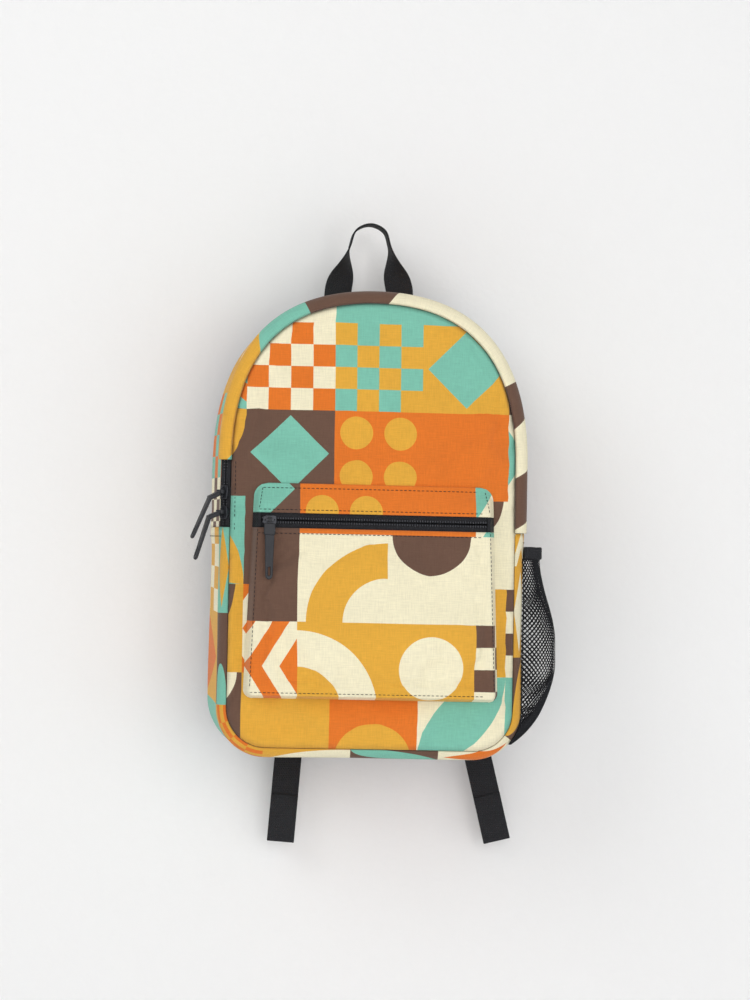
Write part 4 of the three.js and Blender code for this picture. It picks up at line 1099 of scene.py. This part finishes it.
class PACK_OT_net(bpy.types.Operator):
    """Knots the side net and sews its elastic binding"""

    bl_idname = "pack.net"
    bl_label = "Side net"

    def execute(self, context):
        form, finish = workshop(context)
        p = form.p
        wide = (form.net(1, 0.3) - form.net(0, 0.3)).length * 1.12
        tall = (p.net_top - p.net_base) * 1.06
        across, up = 1.0, 1.25
        bm = bmesh.new()
        n = int(1.5 * max(wide / across, tall / up) / p.net_pitch)
        bmesh.ops.create_grid(bm, x_segments=n, y_segments=n, size=0.5 * n * p.net_pitch)
        bmesh.ops.rotate(bm, cent=(0, 0, 0), matrix=Matrix.Rotation(math.pi / 4, 3, "Z"), verts=bm.verts)
        bmesh.ops.scale(bm, vec=(across, up, 1), verts=bm.verts)
        for axis, half in ((Vector((1, 0, 0)), wide / 2), (Vector((0, 1, 0)), tall / 2)):
            for side in (1, -1):
                geom = bm.verts[:] + bm.edges[:] + bm.faces[:]
                bmesh.ops.bisect_plane(bm, geom=geom, dist=1e-6, plane_co=axis * half * side,
                                       plane_no=axis * side, clear_outer=True)
        for v in bm.verts:
            u, w = clamp(v.co.x / wide + 0.5), clamp(v.co.y / tall + 0.5)
            v.co = form.net(u, w, 0.0004 + 0.0008 * rumple(form.net(u, w), 0.03, 6.0))
        bmesh.ops.wireframe(bm, faces=bm.faces, thickness=p.net_cord, offset=0.0, use_replace=True,
                            use_boundary=True, use_even_offset=False)
        bmesh.ops.recalc_face_normals(bm, faces=bm.faces)
        net = add_piece("side_net", bm, finish.moulded("net_cord", 0.75, 0.2, 1500.0, 0.7),
                        stands_for=["mesh_pocket"])

        stations = []
        steps = 60
        for i in range(steps + 1):
            here = form.net(i / steps, 1.0, p.binding_thick / 2)
            there = form.net(min(1, (i + 1) / steps), 1.0, p.binding_thick / 2)
            if i == steps:
                there = here + (here - form.net((i - 1) / steps, 1.0, p.binding_thick / 2))
            along = (there - here)
            along.z = 0
            out = along.normalized().cross(Vector((0, 0, 1)))
            here.z = form.base + p.net_top + form.s.gap + p.binding_height / 2
            wave = Vector((0, 0, 0.0003 * rumple(here, 0.006, 3.0)))
            stations.append((here + wave, Vector((0, 0, 1)), -out))
        bm = tube(stations, oval(p.binding_height, p.binding_thick * 0.9, 4, 5))
        add_piece("net_binding", bm, finish.webbing(), stands_for=["mesh_pocket_binding"])
        return {"FINISHED"}


def spline(points, count):
    """Even points and directions along a smooth curve through points."""
    pts = [2 * points[0] - points[1], *points, 2 * points[-1] - points[-2]]
    fine = []
    for a, b, c, d in zip(pts, pts[1:], pts[2:], pts[3:]):
        k = [0.0]
        for p, q in ((a, b), (b, c), (c, d)):
            k.append(k[-1] + max(1e-6, (q - p).length ** 0.5))
        for i in range(24):
            t = lerp(k[1], k[2], i / 24)
            l1 = a.lerp(b, (t - k[0]) / (k[1] - k[0]))
            l2 = b.lerp(c, (t - k[1]) / (k[2] - k[1]))
            l3 = c.lerp(d, (t - k[2]) / (k[3] - k[2]))
            m1 = l1.lerp(l2, (t - k[0]) / (k[2] - k[0]))
            m2 = l2.lerp(l3, (t - k[1]) / (k[3] - k[1]))
            fine.append(m1.lerp(m2, (t - k[1]) / (k[2] - k[1])))
    fine.append(points[-1].copy())
    return even(fine, count)


def even(fine, count):
    """Points at even distances along a fine row of points, each with its direction."""
    far = running(fine)
    spots = []
    for i in range(count + 1):
        k, r = locate(far, far[-1] * i / count)
        spots.append(fine[k].lerp(fine[k + 1], r))
    ways = []
    for i in range(count + 1):
        ways.append((spots[min(count, i + 1)] - spots[max(0, i - 1)]).normalized())
    return list(zip(spots, ways))


class PACK_OT_handle(bpy.types.Operator):
    """Twists the webbing of the grab handle over its hook"""

    bl_idname = "pack.handle"
    bl_label = "Grab handle"

    def execute(self, context):
        form, finish = workshop(context)
        t = form.t
        r, top = t.hook_radius, form.top
        half = []
        root = self.root(form, t.handle_spread)
        leg = (lerp(t.handle_spread, r, 0.55), lerp(top, -r, 0.55))
        for x, z in ((t.handle_spread, root + 0.002), (t.handle_spread - 0.001, top + 0.012),
                     leg, (r, -r), (r * 0.72, -r * 0.26)):
            half.append((x, z))
        points = [Vector((-x, 0, z)) for x, z in half] + [Vector((0, 0, t.web / 2))]
        points += [Vector((x, 0, z)) for x, z in reversed(half)]
        stations = []
        line = spline(points, 160)
        for i, (spot, way) in enumerate(line):
            u = i / 160
            normal = Vector((way.z, 0, -way.x))
            twist = math.pi / 2 * smooth(0.5 - abs(u - 0.5), 0.06, 0.34)
            across = normal * math.cos(twist) + Vector((0, math.sin(twist), 0))
            spot = spot + Vector((0, -(t.web / 2 + form.s.gap) * math.cos(twist), 0))
            stations.append((spot, across, way.cross(across)))
        bm = tube(stations, oval(t.web_width, t.web, 3, 8))
        for v in bm.verts:
            if v.co.z < root + 0.004 and abs(v.co.z - root) < 0.006:
                v.co.z = max(v.co.z, self.root(form, abs(v.co.x)) + 2 * form.s.fit)
        add_piece("handle_webbing", bm, finish.webbing(), stands_for=["grab_handle"])
        return {"FINISHED"}

    @staticmethod
    def root(form, x):
        low, high = 0.0, 1.0
        for _ in range(30):
            mid = (low + high) / 2
            if form.quarter(form.s.back_inset, mid)[0] < -x:
                low = mid
            else:
                high = mid
        return form.quarter(form.s.back_inset, low)[1]


def node_copy(node):
    """Merged copy of a CAD solid."""
    bm = bmesh.new()
    bm.from_mesh(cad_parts[node].data)
    bmesh.ops.remove_doubles(bm, verts=bm.verts, dist=1e-6)
    return bm


def lay_flat(bm, flat):
    """Marks each corner with its spot on the cut cloth, in metres."""
    cut = bm.loops.layers.uv.new("cloth")
    for face in bm.faces:
        for corner in face.loops:
            corner[cut].uv = flat(corner.vert.co)


def soften(obj, width):
    """Rounds the edges of a cut piece."""
    soft = obj.modifiers.new("soft", "BEVEL")
    soft.width, soft.segments, soft.limit_method = width, 2, "ANGLE"
    return soft


def padded_copy(node, name, finish, shrink, voxel, cap, pressure, shape=None, smoothing=10):
    """Padding from a CAD solid: merged, shrunk, remeshed, swollen by air and shaped by its seams."""
    bm = node_copy(node)
    bm.normal_update()
    moves = [(v, v.normal.copy()) for v in bm.verts]
    for v, out in moves:
        v.co -= out * shrink
    obj = add_piece(name, bm, finish, stands_for=[node])
    remesh = obj.modifiers.new("remesh", "REMESH")
    remesh.mode, remesh.voxel_size = "VOXEL", voxel
    shaped = bpy.data.meshes.new_from_object(obj.evaluated_get(bpy.context.evaluated_depsgraph_get()))
    obj.modifiers.remove(remesh)
    old, obj.data = obj.data, shaped
    bpy.data.meshes.remove(old)
    shaped.name = name
    bm = bmesh.new()
    bm.from_mesh(shaped)
    for _ in range(smoothing):
        bmesh.ops.smooth_vert(bm, verts=bm.verts, factor=0.5,
                              use_axis_x=True, use_axis_y=True, use_axis_z=True)
    bm.to_mesh(shaped)
    bm.free()
    settle(obj, lambda co: 0.0, 0.0, pressure, cap, frames=12, stiff=12.0)
    if shape:
        for v in obj.data.vertices:
            v.co = shape(v.co.copy())
    obj.data.shade_smooth()
    fine = obj.modifiers.new("fine", "SUBSURF")
    fine.levels = fine.render_levels = 1
    return obj


class PACK_OT_back(bpy.types.Operator):
    """Pads the back panel and sews on the yoke and the inner sleeve"""

    bl_idname = "pack.back"
    bl_label = "Back"

    def execute(self, context):
        form, finish = workshop(context)
        knit = finish.knit("air_mesh", 0.0034)

        def channels(co):
            if co.y > 0.004:
                side = abs(abs(co.x) - 0.052)
                rows = [abs(co.z - form.base - h) for h in (0.085, 0.205)]
                near = min([side] + ([min(rows)] if abs(co.x) > 0.052 else []))
                edge = 1 - form.panel_share(co.x * 1.02, co.z)
                groove = math.exp(-((near / 0.006) ** 2)) * smooth(edge, 0.02, 0.1)
                co.y -= 0.0042 * groove
                co.y = min(co.y, form.pad_back)
            else:
                co.y = max(co.y, form.s.gap)
            return co

        pad = padded_copy("back_panel", "back_padding", knit,
                          0.0003, 0.0036, 0.003, 2.0, channels, smoothing=2)
        self.yoke(finish)
        self.sleeve(finish)
        return {"FINISHED"}

    def yoke(self, finish):
        bm = node_copy("strap_yoke")
        lay_flat(bm, lambda co: (co.x, co.z))
        yoke = add_piece("yoke_cloth", bm, finish.webbing("yoke_weave", 0.0011),
                         stands_for=["strap_yoke"], smooth_faces=False)
        soften(yoke, 0.0007)

    def sleeve(self, finish):
        lining = finish.cloth("lining_cloth", (0, 0), plain=finish.look.lining)
        bm = node_copy("laptop_sleeve")
        bmesh.ops.subdivide_edges(bm, edges=bm.edges, cuts=1, use_grid_fill=True)
        lay_flat(bm, lambda co: (co.x, co.z))
        obj = add_piece("sleeve_cloth", bm, lining, stands_for=["laptop_sleeve"])


class PACK_OT_straps(bpy.types.Operator):
    """Pads the shoulder straps and threads their webbing through the ladder locks"""

    bl_idname = "pack.straps"
    bl_label = "Shoulder straps"

    def execute(self, context):
        form, finish = workshop(context)
        knit = finish.knit("air_mesh", 0.0034)
        web = finish.webbing()
        for word in ("left", "right"):
            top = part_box(f"shoulder_strap_{word}")[1].z

            def to_yoke(co):
                return co + Vector((0, 0, 0.006 * smooth(co.z, top - 0.05, top)))

            strap = padded_copy(f"shoulder_strap_{word}", f"strap_padding_{word}", knit,
                                0.0006, 0.0022, 0.0025, 2.0, to_yoke, smoothing=14)
            for node, name in ((f"strap_webbing_{word}", f"strap_web_{word}"),
                               (f"adjuster_webbing_{word}", f"adjuster_web_{word}"),
                               (f"strap_anchor_{word}", f"anchor_tab_{word}")):
                bm = node_copy(node)
                bmesh.ops.dissolve_limit(bm, angle_limit=0.01, verts=bm.verts, edges=bm.edges)
                lay_flat(bm, lambda co: (co.x, co.z + 0.4 * co.y))
                obj = add_piece(name, bm, web, stands_for=[node], smooth_faces=False)
                soften(obj, 0.0005)
            self.hem(form, finish, word)
        return {"FINISHED"}

    def hem(self, form, finish, word):
        """Cut edge and stitches where the adjuster's end is folded back on itself."""
        trim = form.t
        side, lean = (-1, trim.left_lean) if word == "left" else (1, trim.right_lean)
        down = Vector((side * math.sin(lean), 0, -math.cos(lean)))
        across = Vector((math.cos(lean), 0, side * math.sin(lean)))
        spots = [v.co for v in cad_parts[f"adjuster_webbing_{word}"].data.vertices]
        end = max(c.dot(down) for c in spots)
        tip = [c for c in spots if c.dot(down) > end - 1e-4]
        middle = sum(tip, Vector()) / len(tip) - down * trim.tail_hem
        middle.y = min(c.y for c in tip)
        bm = bmesh.new()
        pose = Matrix((Vector((0, -1, 0)), down, across)).transposed().to_4x4()
        pose.translation = middle + Vector((0, 0.0004, 0))
        bmesh.ops.create_cone(bm, cap_ends=True, segments=10, radius1=0.0007, radius2=0.0007,
                              depth=trim.web_width, matrix=pose)
        for drop in (0.003, 0.038):
            ends = [middle + down * drop + across * k * (trim.web_width / 2 - 0.002) for k in (-1, 1)]
            sew(bm, [(c, Vector((0, -1, 0))) for c in ends], trim)
        add_piece(f"tail_hem_{word}", bm, finish.thread())


class PACK_OT_hardware(bpy.types.Operator):
    """Finishes the sliders, pulls and ladder locks"""

    bl_idname = "pack.hardware"
    bl_label = "Hardware"

    def execute(self, context):
        form, finish = workshop(context)
        metal = finish.moulded("slider_metal", 0.38, 0.5, 700.0, 1.15, 0.55, 0.5)
        rubber = finish.moulded("pull_rubber", 0.55, 0.4, 1300.0, 1.05)
        plastic = finish.moulded("buckle_plastic", 0.45, 0.45, 800.0, 0.9)
        for node, material in (
            ("pocket_slider", metal), ("main_slider_upper", metal), ("main_slider_lower", metal),
            ("pocket_pull", rubber), ("main_pull_upper", rubber), ("main_pull_lower", rubber),
            ("ladder_lock_left", plastic), ("ladder_lock_right", plastic),
        ):
            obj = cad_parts[node]
            obj.data.materials.clear()
            obj.data.materials.append(material)
            weld = obj.modifiers.new("weld", "WELD")
            weld.merge_threshold = 1e-6
            soften(obj, 0.0003).angle_limit = math.radians(28)
        return {"FINISHED"}


def sew(bm, path, trim):
    """A row of stitches along points with their outward directions."""
    far = running([spot for spot, _ in path])
    step = trim.stitch + trim.stitch_gap
    for i in range(int(far[-1] / step)):
        spots = []
        for at in (i * step, i * step + trim.stitch):
            k, r = locate(far, at)
            spots.append((path[k][0].lerp(path[k + 1][0], r), path[k][1].lerp(path[k + 1][1], r)))
        (a, up), (b, _) = spots
        along = (b - a).normalized()
        across = up.cross(along).normalized()
        pose = Matrix((along, across, along.cross(across))).transposed().to_4x4()
        pose.translation = (a + b) / 2
        size = Matrix.Diagonal(((b - a).length / 2, trim.thread / 2, trim.thread / 2, 1))
        bmesh.ops.create_icosphere(bm, subdivisions=1, radius=1.0, matrix=pose @ size)


class PACK_OT_stitching(bpy.types.Operator):
    """Sews the visible rows of black stitches"""

    bl_idname = "pack.stitching"
    bl_label = "Stitching"

    def execute(self, context):
        form, finish = workshop(context)
        s, trim = form.s, form.t
        front = Vector((0, -1, 0))
        bm = bmesh.new()

        def on_pocket(points):
            rows = []
            for a, b in zip(points, points[1:]):
                for i in range(40):
                    x, z = lerp(a[0], b[0], i / 40), lerp(a[1], b[1], i / 40)
                    rows.append((Vector((x, form.pocket(x, z) - 0.00025, z)), front))
            return rows

        def side(z):
            return form.pocket_half(z) - STITCH_EDGE

        up, low = form.high - 0.0042, form.low + 0.0055
        sew(bm, on_pocket([(-side(up), up), (side(up), up)]), trim)
        for k in (-1, 1):
            sew(bm, on_pocket([(k * side(up), up), (k * side(form.band_high), form.band_high + 0.001)]), trim)
            sew(bm, on_pocket([(k * side(form.band_low), form.band_low - 0.001), (k * side(low), low)]), trim)
        for z in (form.band_high + 0.0028, form.band_low - 0.0048):
            sew(bm, on_pocket([(-side(z), z), (side(z), z)]), trim)
        sew(bm, on_pocket([(-side(low), low), (side(low), low)]), trim)
        add_piece("pocket_stitches", bm, finish.thread())

        bm = bmesh.new()
        row = []
        for i in range(41):
            z = lerp(form.base + 0.262, form.seam - 0.006, i / 40)
            x = -(s.width / 2 - form.front_inset - 0.004)
            row.append((Vector((x, form.panel(x, z) - 0.0004, z)), front))
        sew(bm, row, trim)
        for u in (0.012, 0.988):
            row = []
            for i in range(31):
                spot = form.gusset("base", u, lerp(0.12, 1.6, i / 30), -0.0003)
                row.append((spot, (spot - Vector((spot.x * 0.6, spot.y * 0.4, spot.z))).normalized()))
            sew(bm, row, trim)
        add_piece("body_stitches", bm, finish.thread())
        return {"FINISHED"}


class PACK_OT_stage(bpy.types.Operator):
    """Sets the wall, the floor, the soft lights and the camera"""

    bl_idname = "pack.stage"
    bl_label = "Stage"

    def execute(self, context):
        scene = context.scene
        look = scene.pack_look
        scene.view_settings.view_transform = "Standard"
        material = bpy.data.materials.new("pale_wall")
        material.use_nodes = True
        t = Tree(material.node_tree)
        shader = material.node_tree.nodes["Principled BSDF"]
        shader.inputs["Roughness"].default_value = 0.95
        shader.inputs["Base Color"].default_value = (*look.wall, 1)
        at = t.node("ShaderNodeTexCoord").outputs["Object"]
        grain = t.node("ShaderNodeTexNoise", Vector=at, Scale=160.0, Detail=3.0)
        dent = t.node("ShaderNodeBump", Strength=0.5, Distance=0.0010, Height=grain.outputs[0])
        t.feed(shader.inputs["Normal"], dent.outputs["Normal"])
        self.one_sided(t, shader)
        back = CAD_BOX[1].y + 0.004
        low = CAD_BOX[0].z - 0.5
        bm = bmesh.new()
        bmesh.ops.create_grid(bm, x_segments=1, y_segments=1, size=4.0)
        bmesh.ops.rotate(bm, cent=(0, 0, 0), matrix=Matrix.Rotation(math.pi / 2, 3, "X"), verts=bm.verts)
        bmesh.ops.translate(bm, vec=(0, back, 0), verts=bm.verts)
        rim = [e for e in bm.edges if all(v.co.z < -1 for v in e.verts)]
        for v in rim[0].verts:
            v.co.z = low
        made = bmesh.ops.extrude_edge_only(bm, edges=rim)
        far = [v for v in made["geom"] if isinstance(v, bmesh.types.BMVert)]
        bmesh.ops.translate(bm, vec=(0, -4.0, 0), verts=far)
        bm.normal_update()
        for face in bm.faces:
            if face.normal.y > 0.5 or face.normal.z < -0.5:
                face.normal_flip()
        mesh = bpy.data.meshes.new("wall_and_floor")
        bm.to_mesh(mesh)
        bm.free()
        wall = bpy.data.objects.new("wall_and_floor", mesh)
        scene.collection.objects.link(wall)
        mesh.materials.append(material)
        self.lights(scene)
        self.camera(scene)
        return {"FINISHED"}

    def one_sided(self, t, shader):
        """Opens the wall to views from behind, and lets room light reach the back of the bag."""
        path = t.node("ShaderNodeLightPath")
        close = t.wire(path.outputs["Ray Length"]).below(0.08) * t.wire(path.outputs["Is Diffuse Ray"])
        behind = t.wire(t.node("ShaderNodeNewGeometry").outputs["Backfacing"])
        mix = t.node("ShaderNodeMixShader")
        t.feed(mix.inputs[0], t.math("MAXIMUM", behind, close).socket)
        t.feed(mix.inputs[1], shader.outputs["BSDF"])
        t.feed(mix.inputs[2], t.node("ShaderNodeBsdfTransparent").outputs["BSDF"])
        end = next(n for n in t.tree.nodes if n.type == "OUTPUT_MATERIAL")
        t.feed(end.inputs["Surface"], mix.outputs[0])

    def lights(self, scene):
        middle = (CAD_BOX[0] + CAD_BOX[1]) / 2
        for name, place, size, power in (
            ("key", (-1.5, -1.9, 1.3), 1.6, 15),
            ("fill", (1.6, -2.2, -0.4), 2.2, 10),
            ("front", (0.2, -3.2, 0.2), 2.4, 36),
        ):
            lamp = bpy.data.lights.new(name, "AREA")
            lamp.shape, lamp.size, lamp.energy = "DISK", size, power
            obj = bpy.data.objects.new(name, lamp)
            obj.location = middle + Vector(place)
            obj.rotation_euler = (middle - obj.location).to_track_quat("-Z", "Y").to_euler()
            scene.collection.objects.link(obj)
        world = bpy.data.worlds.new("soft_room")
        scene.world = world
        world.use_nodes = True
        world.node_tree.nodes["Background"].inputs["Color"].default_value = (1, 1, 1, 1)
        world.node_tree.nodes["Background"].inputs["Strength"].default_value = 0.40

    def camera(self, scene):
        v = scene.pack_view
        target = Vector((v.target_x, -0.060, v.target_z))
        level = math.cos(v.elevation)
        way = Vector((math.sin(v.azimuth) * level, -math.cos(v.azimuth) * level, math.sin(v.elevation)))
        data = bpy.data.cameras.new("viewpoint")
        data.lens, data.sensor_width, data.sensor_fit = v.lens, 36.0, "AUTO"
        cam = bpy.data.objects.new("viewpoint", data)
        cam.location = target + way * v.distance
        aim = (-way).to_track_quat("-Z", "Y").to_matrix() @ Matrix.Rotation(v.roll, 3, "Z")
        cam.rotation_euler = aim.to_euler()
        scene.collection.objects.link(cam)
        scene.camera = cam


PIECES = (PACK_OT_stage, PACK_OT_body, PACK_OT_pocket, PACK_OT_zips, PACK_OT_net, PACK_OT_handle,
          PACK_OT_back, PACK_OT_straps, PACK_OT_hardware, PACK_OT_stitching)
GROUPS = {"pack_shape": PackShape, "pack_pocket": PackPocket, "pack_trim": PackTrim,
          "pack_look": PackLook, "pack_view": PackView}


class PACK_PT_sidebar(bpy.types.Panel):
    """Lists the pieces of the day pack"""

    bl_label = "Day pack"
    bl_idname = "PACK_PT_sidebar"
    bl_space_type = "VIEW_3D"
    bl_region_type = "UI"
    bl_category = "Day pack"

    def draw(self, context):
        for cls in PIECES:
            self.layout.operator(cls.bl_idname)


def register():
    for cls in (*GROUPS.values(), *PIECES, PACK_PT_sidebar):
        bpy.utils.register_class(cls)
    for name, cls in GROUPS.items():
        setattr(bpy.types.Scene, name, PointerProperty(type=cls))


def unregister():
    for name in GROUPS:
        delattr(bpy.types.Scene, name)
    for cls in reversed((*GROUPS.values(), *PIECES, PACK_PT_sidebar)):
        bpy.utils.unregister_class(cls)


def main():
    register()
    for step in ("stage", "body", "pocket", "zips", "net", "handle", "back", "straps", "hardware",
                 "stitching"):
        getattr(bpy.ops.pack, step)()


if __name__ == "__main__":
    main()
